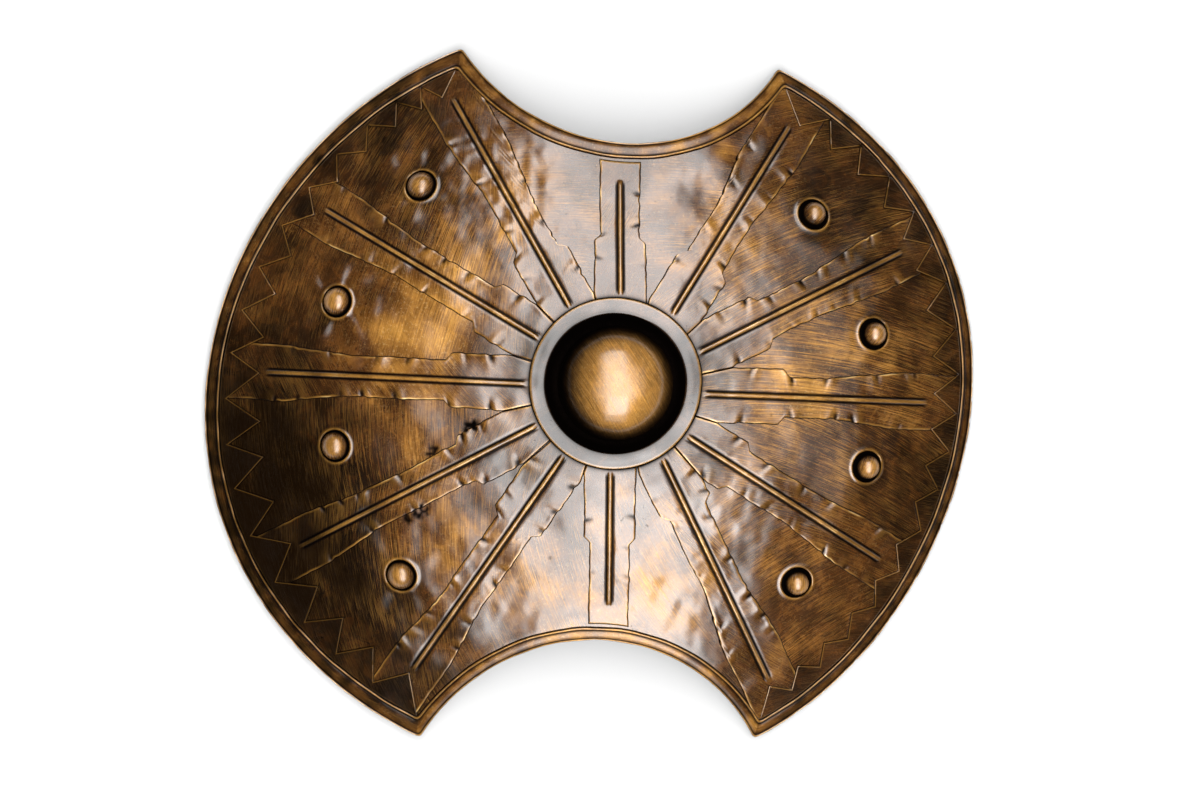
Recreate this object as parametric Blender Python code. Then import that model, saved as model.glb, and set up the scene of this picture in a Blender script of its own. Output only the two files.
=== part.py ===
"""Two-notched round bronze shield, lying face up on its rim.

A dished shell carries twelve ribbed straps, two borders of saw-cut teeth, a folded rim, a collar,
a domed boss in a sunk ring and eight small domed studs. An arm band and a hand grip are fixed
inside. Metres, +Z up. The shield is drawn about the boss's axis and stands on z = 0.
"""

import math

import bmesh
import bpy
from mathutils import Matrix, Vector
from mathutils.geometry import delaunay_2d_cdt, intersect_line_line_2d

# Outline: a hand-made round, with its mean radius about the boss and the waves that pull it off round
OVAL_RADIUS = 0.3782
OVAL_WAVES = ((1, 0.0285, -148.5), (2, 0.0071, 61.7), (3, 0.0013, 137.4), (4, 0.0027, 64.1))
# Each notch is cut to part of an ellipse: centre, the two radii, and the first radius's direction
TOP_NOTCH = {"centre": (0.0009, 0.4321), "radii": (0.2031, 0.1808), "turn": -58.7, "faces": 90}
BOTTOM_NOTCH = {"centre": (-0.0352, -0.4635), "radii": (0.2160, 0.1920), "turn": 71.6, "faces": 265}
HORN_SEARCH = 65

# Dish
DISH_RISE = 0.102
FOOT_HEIGHT = 0.006
SHELL_SHEET = 0.0012
GAP = 0.00035

# Rim: a strip folded over the edge, wider towards the horns, with a flat foot
RIM_SHEET = 0.0014
RIM_GAP = 0.0006
RIM_STAND = 0.0026
RIM_BEAD = 0.0010
RIM_BEAD_WIDTH = 0.0022
RIM_FOOT = 0.0040
RIM_RETURN = 0.0110
RIM_WIDTHS = {
    "left": (0.0153, 0.0190),
    "bottom": (0.0135, 0.0135),
    "right": (0.0128, 0.0150),
    "top": (0.0160, 0.0160),
}

# Straps: direction, side offset of the rib, and where the edge steps in
STRAPS = {
    "strap_top": {"turn": 90.1, "offset": -0.0051, "step": 0.142},
    "strap_upper_left": {"turn": 119.2, "offset": 0.0022, "step": 0.154},
    "strap_left_high": {"turn": 148.8, "offset": 0.0010, "step": 0.145},
    "strap_left": {"turn": 177.3, "offset": 0.0042, "step": 0.162},
    "strap_left_low": {"turn": -153.0, "offset": 0.0016, "step": 0.160},
    "strap_lower_left": {"turn": -125.1, "offset": -0.0009, "step": 0.166},
    "strap_bottom": {"turn": -90.6, "offset": -0.0039, "step": 0.154},
    "strap_lower_right": {"turn": -64.2, "offset": 0.0093, "step": 0.140},
    "strap_right_low": {"turn": -32.5, "offset": -0.0057, "step": 0.141},
    "strap_right": {"turn": -2.1, "offset": -0.0069, "step": 0.164},
    "strap_right_high": {"turn": 26.4, "offset": -0.0090, "step": 0.155},
    "strap_upper_right": {"turn": 58.0, "offset": -0.0112, "step": 0.145},
}
SHORT_STRAPS = {"strap_top": TOP_NOTCH, "strap_bottom": BOTTOM_NOTCH}
STRAP_SHEET = 0.0010
STRAP_ROOT = 0.0265
STRAP_WAIST = 0.0195
STRAP_TIP = 0.0275
SHORT_STRAP_TIP = 0.0225
STEP_LENGTH = 0.006
# How far in from the outline a strap starts to widen, and has its full tip width
FLARE_START = 0.145
FLARE_END = 0.078
RIB_WIDTH = 0.0052
RIB_CREST = 0.0016
RIB_HEIGHT = 0.0026
RIB_TAPER = 0.006
RIB_START = 0.003
RIB_END = 0.004
SHORT_RIB_END = 0.036
RIB_STEP = 0.034

# Saw-cut borders: the teeth's directions, and how far tips and roots stand in from the rim's inner line
TOOTH_SHEET = 0.0014
LEFT_TEETH = {
    "tips": (121.1, 125.1, 130.4, 136.9, 143.9, 150.6, 158.4, 165.1, 172.4,
             178.2, 186.0, 191.7, 199.0, 206.2, 214.3, 220.7, 227.4, 234.5),
    "tip_depth": ((121, 0.0225), (141, 0.026), (186, 0.0445), (212, 0.0435), (235, 0.0375)),
    "root_strip": ((121, 0.0015), (150, 0.009), (235, 0.009)),
}
RIGHT_TEETH = {
    "tips": (-62.9, -57.0, -51.1, -44.0, -37.0, -29.7, -21.4, -14.7, -8.1,
             -1.7, 5.0, 13.3, 20.7, 26.7, 33.3, 40.8, 47.4, 54.4),
    "tip_depth": ((-63, 0.0265), (-44, 0.0245), (-20, 0.0245), (-8, 0.0285), (10, 0.0315), (27, 0.0275)),
    "root_strip": ((-45, 0.010), (0, 0.004), (54, 0.003)),
}

# Boss: a dome in a sunk ring, with a flange that holds it behind the shell
BOSS_SHEET = 0.0014
BOSS_RADIUS = 0.0545
BOSS_HEIGHT = 0.042
MOAT_WIDTH = 0.0125
MOAT_DEPTH = 0.012
MOAT_SLOPE = 0.0045
BOSS_LAP = 0.009
BOSS_SIDES = 28
BOSS_RINGS = 5

# Collar around the boss's sunk ring, on the straps' inner ends
COLLAR_INNER = BOSS_RADIUS + MOAT_WIDTH
COLLAR_WIDTH = 0.015
COLLAR_SHEET = 0.0014
COLLAR_SIDES = 36
STRAP_TUCK = 0.0105

# Studs: how far in from the outline, and direction
STUDS = {
    "stud_left_1": (0.106, 134.4),
    "stud_left_2": (0.113, 163.5),
    "stud_left_3": (0.134, 192.5),
    "stud_left_4": (0.131, 221.8),
    "stud_right_1": (0.103, 40.5),
    "stud_right_2": (0.102, 10.9),
    "stud_right_3": (0.0965, -18.2),
    "stud_right_4": (0.103, -47.6),
}
STUD_RADIUS = 0.0120
STUD_HEIGHT = 0.0140
STUD_NECK = 0.0030
STUD_MOAT = 0.0036
STUD_LAP = 0.0039
STUD_SHEET = 0.0014
STUD_SIDES = 12
STUD_RINGS = 2

# Fittings inside: how far in from the outline and direction, then span, stand-off, strip and feet
FITTINGS = {
    "arm_band": {
        "inset": 0.283, "turn": 180, "span": 0.116, "stand_off": 0.056, "strip": 0.050, "foot": 0.024,
    },
    "hand_grip": {
        "inset": 0.1675, "turn": 0, "span": 0.120, "stand_off": 0.038, "strip": 0.024, "foot": 0.022,
    },
}
FITTING_SHEET = 0.0024
FITTING_GAP = 0.0009
FITTING_TOE = 0.4
FITTING_STEPS = 10

# Fineness of the facets
EDGE_STEP = 0.031
SHELL_STEP = 0.041
SHELL_CLEAR = 0.018
CURVE_POINTS = 120
SLOPE_STEP = 0.001
SAME_PLACE = 1e-7
HALVINGS = 50
SHARP_ANGLE = 45

BRONZE = ((0.30, 0.19, 0.085), 0.42, 0.9)
DARK_BRONZE = ((0.16, 0.10, 0.05), 0.45, 0.9)
BRIGHT_BRONZE = ((0.48, 0.32, 0.14), 0.35, 0.9)


def oval_radius(angle):
    """Distance from the boss's axis to the round outline, in the direction of an angle in radians."""
    waves = (size * math.cos(count * angle - math.radians(phase)) for count, size, phase in OVAL_WAVES)
    return OVAL_RADIUS + sum(waves)


def dish(x, y):
    """Height of the shell's front face."""
    share = math.hypot(x, y) / oval_radius(math.atan2(y, x))
    return FOOT_HEIGHT + DISH_RISE * (1 - share * share)


def dish_frame(x, y):
    """Matrix that stands a piece on the dish with its +Z along the face's normal."""
    slope_x = (dish(x + SLOPE_STEP, y) - dish(x - SLOPE_STEP, y)) / (2 * SLOPE_STEP)
    slope_y = (dish(x, y + SLOPE_STEP) - dish(x, y - SLOPE_STEP)) / (2 * SLOPE_STEP)
    normal = Vector((-slope_x, -slope_y, 1.0)).normalized()
    return Matrix.Translation((x, y, dish(x, y))) @ normal.to_track_quat("Z", "Y").to_matrix().to_4x4()


def between(angle, stops):
    """Value at an angle in degrees, read straight between the stops and level beyond them."""
    if angle <= stops[0][0]:
        return stops[0][1]
    for (low, first), (high, last) in zip(stops, stops[1:]):
        if angle <= high:
            return first + (last - first) * (angle - low) / (high - low)
    return stops[-1][1]


def polar(radius, degrees):
    return Vector((radius * math.cos(math.radians(degrees)), radius * math.sin(math.radians(degrees))))


def on_oval(degrees, inset=0.0):
    return polar(oval_radius(math.radians(degrees)) - inset, degrees)


def in_notch(notch, point):
    """The point in the notch's own frame, as shares of its two radii."""
    offset = Matrix.Rotation(-math.radians(notch["turn"]), 2) @ (point - Vector(notch["centre"]))
    return Vector((offset.x / notch["radii"][0], offset.y / notch["radii"][1]))


def on_notch(notch, angle):
    """Point of the notch's ellipse."""
    local = Vector((notch["radii"][0] * math.cos(angle), notch["radii"][1] * math.sin(angle)))
    return Vector(notch["centre"]) + Matrix.Rotation(math.radians(notch["turn"]), 2) @ local


def crossing(inner, outer, holds):
    """The value between inner and outer where holds turns false, found by halving."""
    for _ in range(HALVINGS):
        middle = (inner + outer) / 2
        if holds(middle):
            inner = middle
        else:
            outer = middle
    return (inner + outer) / 2


def horn_angle(notch, side):
    """Direction in degrees of the horn where a notch meets the round outline, on side 1 or -1."""
    outer = notch["faces"] + side * HORN_SEARCH
    return crossing(notch["faces"], outer, lambda angle: in_notch(notch, on_oval(angle)).length < 1)


def notch_distance(notch):
    """How far the notch's edge is from the boss, straight towards the notch."""
    facing = notch["faces"]
    return crossing(0.0, OVAL_RADIUS, lambda far: in_notch(notch, polar(far, facing)).length > 1)


def notch_points(notch, start, end):
    """The notch's edge from one horn to the next, anticlockwise about the shield."""
    first, last = (in_notch(notch, on_oval(angle)) for angle in (start, end))
    from_angle = math.atan2(first.y, first.x)
    to_angle = math.atan2(last.y, last.x)
    while to_angle > from_angle:
        to_angle -= 2 * math.pi
    shares = [i / CURVE_POINTS for i in range(CURVE_POINTS + 1)]
    return [on_notch(notch, from_angle + (to_angle - from_angle) * share) for share in shares]


def arc_points(start, end):
    return [on_oval(start + (end - start) * i / CURVE_POINTS) for i in range(CURVE_POINTS + 1)]


def outline_sides():
    """The outline's four sides, anticlockwise from the upper left horn."""
    upper_left, upper_right = horn_angle(TOP_NOTCH, 1), horn_angle(TOP_NOTCH, -1)
    lower_left, lower_right = horn_angle(BOTTOM_NOTCH, -1), horn_angle(BOTTOM_NOTCH, 1)
    return {
        "left": arc_points(upper_left, lower_left),
        "bottom": notch_points(BOTTOM_NOTCH, lower_left, lower_right),
        "right": arc_points(lower_right - 360, upper_right),
        "top": notch_points(TOP_NOTCH, upper_right, upper_left),
    }


def run_length(points):
    return sum((b - a).length for a, b in zip(points, points[1:]))


def moved_in(points, depths):
    """A side moved in by its own depth at each point."""
    moved = []
    for i, point in enumerate(points):
        along = points[min(i + 1, len(points) - 1)] - points[max(i - 1, 0)]
        moved.append(point + Vector((-along.y, along.x)).normalized() * depths[i])
    return moved


def meeting(first, second):
    """Where the end of one side crosses the start of the next, with each one's place of it."""
    for i in range(len(first) - 2, len(first) // 2, -1):
        for j in range(len(second) // 2):
            met = intersect_line_line_2d(first[i], first[i + 1], second[j], second[j + 1])
            if met:
                return i, j, Vector(met[:2])
    return len(first) - 1, 0, (first[-1] + second[0]) / 2


def evenly(points, count):
    """The run cut to count equal steps, its last point left out."""
    step = run_length(points) / count
    cut, walked, wanted = [], 0.0, 0.0
    for a, b in zip(points, points[1:]):
        length = (b - a).length
        while len(cut) < count and wanted <= walked + length + SAME_PLACE:
            cut.append(a.lerp(b, (wanted - walked) / length if length else 0.0))
            wanted += step
        walked += length
    return cut


SIDES = outline_sides()
SIDE_STEPS = {name: round(run_length(points) / EDGE_STEP) for name, points in SIDES.items()}


def rim_width(side, share):
    """The rim's width at a share of the way along a side."""
    middle, end = RIM_WIDTHS[side]
    return middle + (end - middle) * (2 * share - 1) ** 2


def inset_sides(depth, rim_share=0.0):
    """The four sides moved in by a depth and by a share of the rim's width, cut where they meet."""
    names = list(SIDES)
    runs = []
    for name in names:
        shares = [i / CURVE_POINTS for i in range(CURVE_POINTS + 1)]
        runs.append(moved_in(SIDES[name], [depth + rim_share * rim_width(name, share) for share in shares]))
    if depth + rim_share > 0:
        corners = [meeting(runs[k - 1], runs[k]) for k in range(len(runs))]
        for k, run in enumerate(runs):
            start, end = corners[k], corners[(k + 1) % len(runs)]
            runs[k] = [start[2]] + run[start[1] + 1:end[0] + 1] + [end[2]]
    return dict(zip(names, runs))


def inset_loop(depth, rim_share=0.0):
    """The outline moved in, as one loop of evenly spaced points with a point at each horn."""
    loop = []
    for name, run in inset_sides(depth, rim_share).items():
        loop += evenly(run, SIDE_STEPS[name])
    return loop


def tooth_line(teeth, side, clearance=0.0):
    """The border's cut edge, from horn to horn, moved off by a clearance."""
    tips = sorted(teeth["tips"])
    line = []
    for i, tip in enumerate(tips):
        spots = [(tip, "tip_depth")]
        if i + 1 < len(tips):
            spots.append(((tip + tips[i + 1]) / 2, "root_strip"))
        for angle, kind in spots:
            width = rim_width(side, (angle - tips[0]) / (tips[-1] - tips[0]))
            line.append(on_oval(angle, width + between(angle, teeth[kind]) + clearance))
    return line


def thinned(run, step):
    """A run of points with equal steps, both ends kept."""
    return evenly(run, max(1, round(run_length(run) / step))) + [run[-1]]


def border_outline(teeth, side):
    """Outline of one saw-cut border: along the rim, then back along the teeth."""
    outer = thinned(inset_sides(GAP, 1.0)[side], EDGE_STEP)
    return outer + tooth_line(teeth, side)[::-1]


def field_outline():
    """The open field inside the rim and the teeth, where the straps lie."""
    inner = inset_sides(GAP, 1.0)
    slant = GAP * math.sqrt(2)
    return (
        tooth_line(LEFT_TEETH, "left", slant)
        + thinned(inner["bottom"], EDGE_STEP)
        + tooth_line(RIGHT_TEETH, "right", slant)
        + thinned(inner["top"], EDGE_STEP)
    )


def inside(outline, point):
    """True where the point is within the closed outline."""
    found = False
    for a, b in zip(outline, outline[1:] + outline[:1]):
        if (a.y > point.y) != (b.y > point.y):
            if point.x < a.x + (b.x - a.x) * (point.y - a.y) / (b.y - a.y):
                found = not found
    return found


def circle(radius, count, centre=(0.0, 0.0)):
    return [Vector(centre) + polar(radius, 360 * i / count) for i in range(count)]


def material(name, look):
    """A plain metal finish of one colour, roughness and metallic value."""
    colour, roughness, metallic = look
    made = bpy.data.materials.new(name)
    made.use_nodes = True
    shader = made.node_tree.nodes["Principled BSDF"]
    shader.inputs["Base Color"].default_value = (*colour, 1.0)
    shader.inputs["Roughness"].default_value = roughness
    shader.inputs["Metallic"].default_value = metallic
    made.diffuse_color = (*colour, 1.0)
    return made


def add_object(name, mesh, look):
    """A named object of this mesh, shaded smooth between its sharp edges, with its own material."""
    mesh.shade_smooth()
    mesh.set_sharp_from_angle(angle=math.radians(SHARP_ANGLE))
    mesh.materials.append(material(name, look))
    made = bpy.data.objects.new(name, mesh)
    bpy.context.scene.collection.objects.link(made)
    made.parent = ROOT
    return made


def add_faces(name, points, faces, look):
    """A named object of these points and faces."""
    mesh = bpy.data.meshes.new(name)
    mesh.from_pydata([tuple(point) for point in points], [], faces)
    return add_object(name, mesh, look)


def add_swept(name, section_loops, look):
    """A closed strip: each loop of the section joined to the next, and the last to the first."""
    count = len(section_loops[0])
    faces = []
    for ring in range(len(section_loops)):
        here, after = ring * count, (ring + 1) % len(section_loops) * count
        for i in range(count):
            j = (i + 1) % count
            faces.append((here + i, after + i, after + j, here + j))
    return add_faces(name, [point for loop in section_loops for point in loop], faces, look)


def sheet(name, loops, extra, keep, low, high, look):
    """A sheet over the dish: the plan inside keep, between two heights given at each point.

    loops are closed outlines that the plan is cut along, and extra holds open lines and points.
    """
    points, edges = [], []
    for loop in loops:
        first = len(points)
        points += loop
        edges += [(first + i, first + (i + 1) % len(loop)) for i in range(len(loop))]
    for line in extra:
        first = len(points)
        points += line
        edges += [(first + i, first + i + 1) for i in range(len(line) - 1)]
    plan, _, cells = delaunay_2d_cdt(points, edges, [], 0, SAME_PLACE)[:3]
    cells = [cell for cell in cells if keep(sum((plan[i] for i in cell), Vector((0, 0))) / len(cell))]
    used = sorted({i for cell in cells for i in cell})
    place = {i: k for k, i in enumerate(used)}
    top = [Vector((*plan[i], high(*plan[i]))) for i in used]
    bottom = [Vector((*plan[i], low(*plan[i]))) for i in used]
    faces = []
    border = set()
    for cell in cells:
        ring = [place[i] for i in cell]
        faces.append(tuple(ring))
        faces.append(tuple(i + len(used) for i in reversed(ring)))
        for a, b in zip(ring, ring[1:] + ring[:1]):
            if (b, a) in border:
                border.remove((b, a))
            else:
                border.add((a, b))
    faces += [(b, a, a + len(used), b + len(used)) for a, b in sorted(border)]
    return add_faces(name, top + bottom, faces, look)


def add_shell():
    """The dished shell, with a hole for the boss and one for each stud."""
    edge = inset_loop(RIM_SHEET + GAP)
    holes = [circle(COLLAR_INNER + COLLAR_SHEET + 2 * GAP, COLLAR_SIDES)]
    for stud_inset, degrees in STUDS.values():
        frame = dish_frame(*on_oval(degrees, stud_inset))
        hole = circle(STUD_RADIUS + STUD_MOAT, STUD_SIDES)
        holes.append([(frame @ point.to_3d()).to_2d() for point in hole])
    spread = math.ceil(2 * OVAL_RADIUS / SHELL_STEP)
    inner_edge = inset_loop(RIM_SHEET + GAP + SHELL_CLEAR)
    lattice = []
    for row in range(-spread, spread + 1):
        for column in range(-spread, spread + 1):
            point = Vector(((column + 0.5 * (row % 2)) * SHELL_STEP, row * SHELL_STEP * math.sqrt(0.75)))
            far = all(min((point - corner).length for corner in hole) > SHELL_CLEAR for hole in holes)
            if inside(inner_edge, point) and far and not any(inside(hole, point) for hole in holes):
                lattice.append([point])
    return sheet(
        "shell", [edge, *holes], lattice,
        lambda point: inside(edge, point) and not any(inside(hole, point) for hole in holes),
        lambda x, y: dish(x, y) - SHELL_SHEET, dish, BRONZE,
    )


def add_rim():
    """The strip folded over the shell's edge."""
    under = -(SHELL_SHEET + RIM_GAP)
    top = GAP + RIM_STAND
    section = [
        (0.0, 0.0, "foot", -FOOT_HEIGHT),
        (RIM_FOOT, 0.0, "foot", -FOOT_HEIGHT),
        (RIM_FOOT + RIM_SHEET, 0.0, "dish", under - RIM_SHEET),
        (RIM_RETURN, 0.0, "dish", under - RIM_SHEET),
        (RIM_RETURN, 0.0, "dish", under),
        (RIM_SHEET, 0.0, "dish", under),
        (RIM_SHEET, 0.0, "dish", GAP),
        (0.0, 1.0, "dish", GAP),
        (0.0, 1.0, "dish", top),
        (RIM_BEAD_WIDTH * 2, 0.0, "dish", top - RIM_BEAD / 2),
        (RIM_BEAD_WIDTH, 0.0, "dish", top + RIM_BEAD),
        (0.0, 0.0, "foot", top - RIM_BEAD),
    ]
    edge = inset_loop(0.0)
    loops = []
    for depth, rim_share, base, height in section:
        loop = inset_loop(depth, rim_share)
        stands = edge if base == "foot" else loop
        loops.append([Vector((*spot, dish(*stand) + height)) for spot, stand in zip(loop, stands)])
    return add_swept("rim", loops, BRONZE)


def strap_frame(strap):
    """The strap's direction, its left-hand normal, and the side offset of its rib."""
    along = polar(1.0, strap["turn"])
    return along, Vector((-along.y, along.x)), strap["offset"]


def strap_half_widths(name, strap):
    """Half the strap's width at its distances from the boss."""
    reach = oval_radius(math.radians(strap["turn"]))
    if name in SHORT_STRAPS:
        return ((COLLAR_INNER, STRAP_ROOT), (strap["step"], SHORT_STRAP_TIP), (reach, SHORT_STRAP_TIP))
    return (
        (COLLAR_INNER, STRAP_ROOT),
        (strap["step"] - STEP_LENGTH / 2, STRAP_ROOT),
        (strap["step"] + STEP_LENGTH / 2, STRAP_WAIST),
        (reach - FLARE_START, STRAP_WAIST),
        (reach - FLARE_END, STRAP_TIP),
        (reach, STRAP_TIP),
    )


def rib_span(name):
    """Where the strap's rib starts and ends, measured from the boss."""
    start = COLLAR_INNER + COLLAR_WIDTH + RIB_START
    if name in SHORT_STRAPS:
        return start, notch_distance(SHORT_STRAPS[name]) - SHORT_RIB_END
    turn = STRAPS[name]["turn"]
    side, teeth = ("right", RIGHT_TEETH) if abs(turn) < 90 else ("left", LEFT_TEETH)
    facing = turn % 360 if side == "left" else turn
    depth = rim_width(side, 0.5) + between(facing, teeth["tip_depth"])
    return start, oval_radius(math.radians(turn)) - depth - RIB_END


def cut_back(outline, normal, reach):
    """The outline without what lies further than reach along a normal."""
    kept = []
    for a, b in zip(outline, outline[1:] + outline[:1]):
        before, after = normal.dot(a) - reach, normal.dot(b) - reach
        if before <= 0:
            kept.append(a)
        if before * after < 0:
            kept.append(a.lerp(b, before / (before - after)))
    return kept


def stepped(outline, step):
    """The closed outline with points added so that no edge is longer than a step."""
    full = []
    for a, b in zip(outline, outline[1:] + outline[:1]):
        count = max(1, math.ceil((b - a).length / step))
        full += [a.lerp(b, i / count) for i in range(count)]
    return full


def strap_outline(name):
    """The strap's cut edge: its widths, mitred against the straps on either side."""
    along, across, offset = strap_frame(STRAPS[name])
    widths = strap_half_widths(name, STRAPS[name])
    right = [along * u + across * (offset - half) for u, half in widths]
    left = [along * u + across * (offset + half) for u, half in widths]
    outline = right + left[::-1]
    names = list(STRAPS)
    for step in (-1, 1):
        beside = names[(names.index(name) + step) % len(names)]
        _, other_across, other_offset = strap_frame(STRAPS[beside])
        turned = ((STRAPS[beside]["turn"] - STRAPS[name]["turn"] + 180) % 360) - 180
        side = math.copysign(1.0, turned)
        normal = (across + other_across) * side
        reach = (offset + other_offset) * side
        outline = cut_back(outline, normal / normal.length, (reach - GAP) / normal.length)
    return stepped(outline, RIB_STEP)


def rib_lines(name):
    """The lines of the rib's feet and crest along the strap."""
    along, across, offset = strap_frame(STRAPS[name])
    start, end = rib_span(name)
    count = max(2, round((end - start) / RIB_STEP))
    lines = []
    for side in (-1, 1):
        foot = [(start + (end - start) * i / count, side * RIB_WIDTH / 2) for i in range(count + 1)]
        crest_start, crest_end = start + RIB_TAPER, end - RIB_TAPER
        crest = [(crest_start + (crest_end - crest_start) * i / count, side * RIB_CREST / 2)
                 for i in range(count + 1)]
        lines += [foot, crest]
    return [[along * u + across * (offset + v) for u, v in line] for line in lines]


def rib_relief(name, span, x, y):
    """Height of the rib over the strap at a point."""
    along, across, offset = strap_frame(STRAPS[name])
    point = Vector((x, y))
    u, v = along.dot(point), abs(across.dot(point) - offset)
    start, end = span
    rise = (RIB_WIDTH / 2 - v) / (RIB_WIDTH / 2 - RIB_CREST / 2)
    ends = min(u - start, end - u) / RIB_TAPER
    return RIB_HEIGHT * max(0.0, min(1.0, rise, ends))


def seat(x, y):
    """Height of the underside of what lies on the shell."""
    return dish(x, y) + GAP


def add_strap(name, field):
    """One ribbed strap, from under the collar out to the teeth or the rim."""
    outline = strap_outline(name)
    span = rib_span(name)
    tuck = circle(COLLAR_INNER + COLLAR_WIDTH - STRAP_TUCK, 2 * COLLAR_SIDES)
    return sheet(
        name, [outline, field, tuck], rib_lines(name),
        lambda point: inside(outline, point) and inside(field, point) and not inside(tuck, point),
        seat, lambda x, y: seat(x, y) + STRAP_SHEET + rib_relief(name, span, x, y), BRONZE,
    )


def add_border(name, teeth, side):
    """One saw-cut border inside the rim."""
    outline = border_outline(teeth, side)
    return sheet(
        name, [outline], [], lambda point: inside(outline, point),
        seat, lambda x, y: seat(x, y) + TOOTH_SHEET, DARK_BRONZE,
    )


def add_collar():
    """The ring over the straps' inner ends, with an edge turned down into the shell's hole."""
    low = GAP + STRAP_SHEET + GAP
    high = low + COLLAR_SHEET
    outer = COLLAR_INNER + COLLAR_WIDTH
    turned = COLLAR_INNER + COLLAR_SHEET
    section = [
        (turned, low),
        (turned, -SHELL_SHEET),
        (COLLAR_INNER, -SHELL_SHEET),
        (COLLAR_INNER, high - COLLAR_SHEET / 3),
        (turned, high),
        (outer - COLLAR_SHEET, high),
        (outer, high - COLLAR_SHEET / 3),
        (outer, low),
    ]
    loops = []
    for radius, height in section:
        loops.append([Vector((*spot, dish(*spot) + height)) for spot in circle(radius, COLLAR_SIDES)])
    return add_swept("collar", loops, BRONZE)


def spun(name, profile, sides):
    """A mesh turned about z from a profile of (radius, height), facing out and up."""
    shape = bmesh.new()
    corners = [shape.verts.new((radius, 0.0, height)) for radius, height in profile]
    wires = [shape.edges.new(pair) for pair in zip(corners, corners[1:])]
    bmesh.ops.spin(
        shape, geom=corners + wires, cent=(0, 0, 0), axis=(0, 0, 1),
        angle=2 * math.pi, steps=sides, use_merge=True,
    )
    bmesh.ops.remove_doubles(shape, verts=shape.verts, dist=SAME_PLACE)
    bmesh.ops.recalc_face_normals(shape, faces=shape.faces)
    top = max(shape.faces, key=lambda face: face.calc_center_median().z)
    if top.normal.z < 0:
        bmesh.ops.reverse_faces(shape, faces=shape.faces)
    mesh = bpy.data.meshes.new(name)
    shape.to_mesh(mesh)
    shape.free()
    return mesh


def dome(radius, low, high, rings):
    """Profile of a dome from its foot to the axis."""
    turns = [math.pi / 2 * i / rings for i in range(rings)]
    return [(radius * math.cos(turn), low + (high - low) * math.sin(turn)) for turn in turns] + [(0.0, high)]


def add_boss():
    """The dome in its sunk ring, with the flange that holds it behind the shell."""
    lap = COLLAR_INNER + BOSS_LAP
    flange = min(dish(*spot) for spot in circle(lap, COLLAR_SIDES)) - SHELL_SHEET - GAP
    floor = flange - MOAT_DEPTH
    wall = COLLAR_INNER - GAP
    profile = [(lap, flange), (wall, flange), (wall - MOAT_SLOPE, floor)]
    profile += dome(BOSS_RADIUS, floor, floor + BOSS_HEIGHT, BOSS_RINGS)
    made = add_object("boss", spun("boss", profile, BOSS_SIDES), BRIGHT_BRONZE)
    thickness = made.modifiers.new("sheet", "SOLIDIFY")
    thickness.thickness = BOSS_SHEET
    thickness.offset = -1.0
    thickness.use_even_offset = True
    return made


def add_stud(name):
    """A domed stud put through its hole from behind, with its flange behind the shell."""
    stud_inset, degrees = STUDS[name]
    lap = STUD_RADIUS + STUD_MOAT + STUD_LAP
    sag = lap ** 2 * DISH_RISE / OVAL_RADIUS ** 2
    face = -(SHELL_SHEET + GAP + sag)
    profile = [(0.0, face - STUD_SHEET), (lap, face - STUD_SHEET), (lap, face), (STUD_RADIUS, face)]
    profile += dome(STUD_RADIUS, STUD_NECK, STUD_HEIGHT, STUD_RINGS)
    made = add_object(name, spun(name, profile, STUD_SIDES), BRIGHT_BRONZE)
    made.matrix_local = dish_frame(*on_oval(degrees, stud_inset))
    return made


def add_fitting(name):
    """A strip arched off the shell's inside between two flat feet."""
    fitting = FITTINGS[name]
    centre_x, centre_y = on_oval(fitting["turn"], fitting["inset"])
    half = fitting["span"] / 2
    path = [(-half - fitting["foot"], 0.0)]
    for i in range(FITTING_STEPS + 1):
        turn = math.pi * i / FITTING_STEPS
        path.append((-half * math.cos(turn), fitting["stand_off"] * math.sin(turn)))
    path.append((half + fitting["foot"], 0.0))
    points = []
    for i, (along, drop) in enumerate(path):
        before, after = path[max(i - 1, 0)], path[min(i + 1, len(path) - 1)]
        run = Vector((after[0] - before[0], after[1] - before[1])).normalized()
        outward = Vector((-run.y, run.x))
        if i in (0, len(path) - 1):
            outward = Vector((0.0, 1.0))
        elif i in (1, len(path) - 2):
            outward = Vector((math.copysign(FITTING_TOE, along), 1.0))
        for side in (-1, 1):
            x = centre_x + side * fitting["strip"] / 2
            for layer in (0.0, FITTING_SHEET):
                y = centre_y + along + outward.x * layer
                z = dish(x, y) - SHELL_SHEET - FITTING_GAP - drop - outward.y * layer
                points.append(Vector((x, y, z)))
    faces = []
    for i in range(len(path) - 1):
        a, b = 4 * i, 4 * (i + 1)
        for first, second in ((0, 1), (1, 3), (3, 2), (2, 0)):
            faces.append((a + first, b + first, b + second, a + second))
    last = 4 * (len(path) - 1)
    faces += [(0, 1, 3, 2), (last + 2, last + 3, last + 1, last)]
    return add_faces(name, points, faces, DARK_BRONZE)


for old in list(bpy.data.objects):
    bpy.data.objects.remove(old)

ROOT = bpy.data.objects.new("shield", None)
bpy.context.scene.collection.objects.link(ROOT)
edge_line = inset_loop(0.0)
middle_x = (min(point.x for point in edge_line) + max(point.x for point in edge_line)) / 2
middle_y = (min(point.y for point in edge_line) + max(point.y for point in edge_line)) / 2
ROOT.location = (-middle_x, -middle_y, 0.0)

add_shell()
add_rim()
open_field = field_outline()
for strap_name in STRAPS:
    add_strap(strap_name, open_field)
add_border("teeth_left", LEFT_TEETH, "left")
add_border("teeth_right", RIGHT_TEETH, "right")
add_collar()
add_boss()
for stud_name in STUDS:
    add_stud(stud_name)
for fitting_name in FITTINGS:
    add_fitting(fitting_name)
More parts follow.
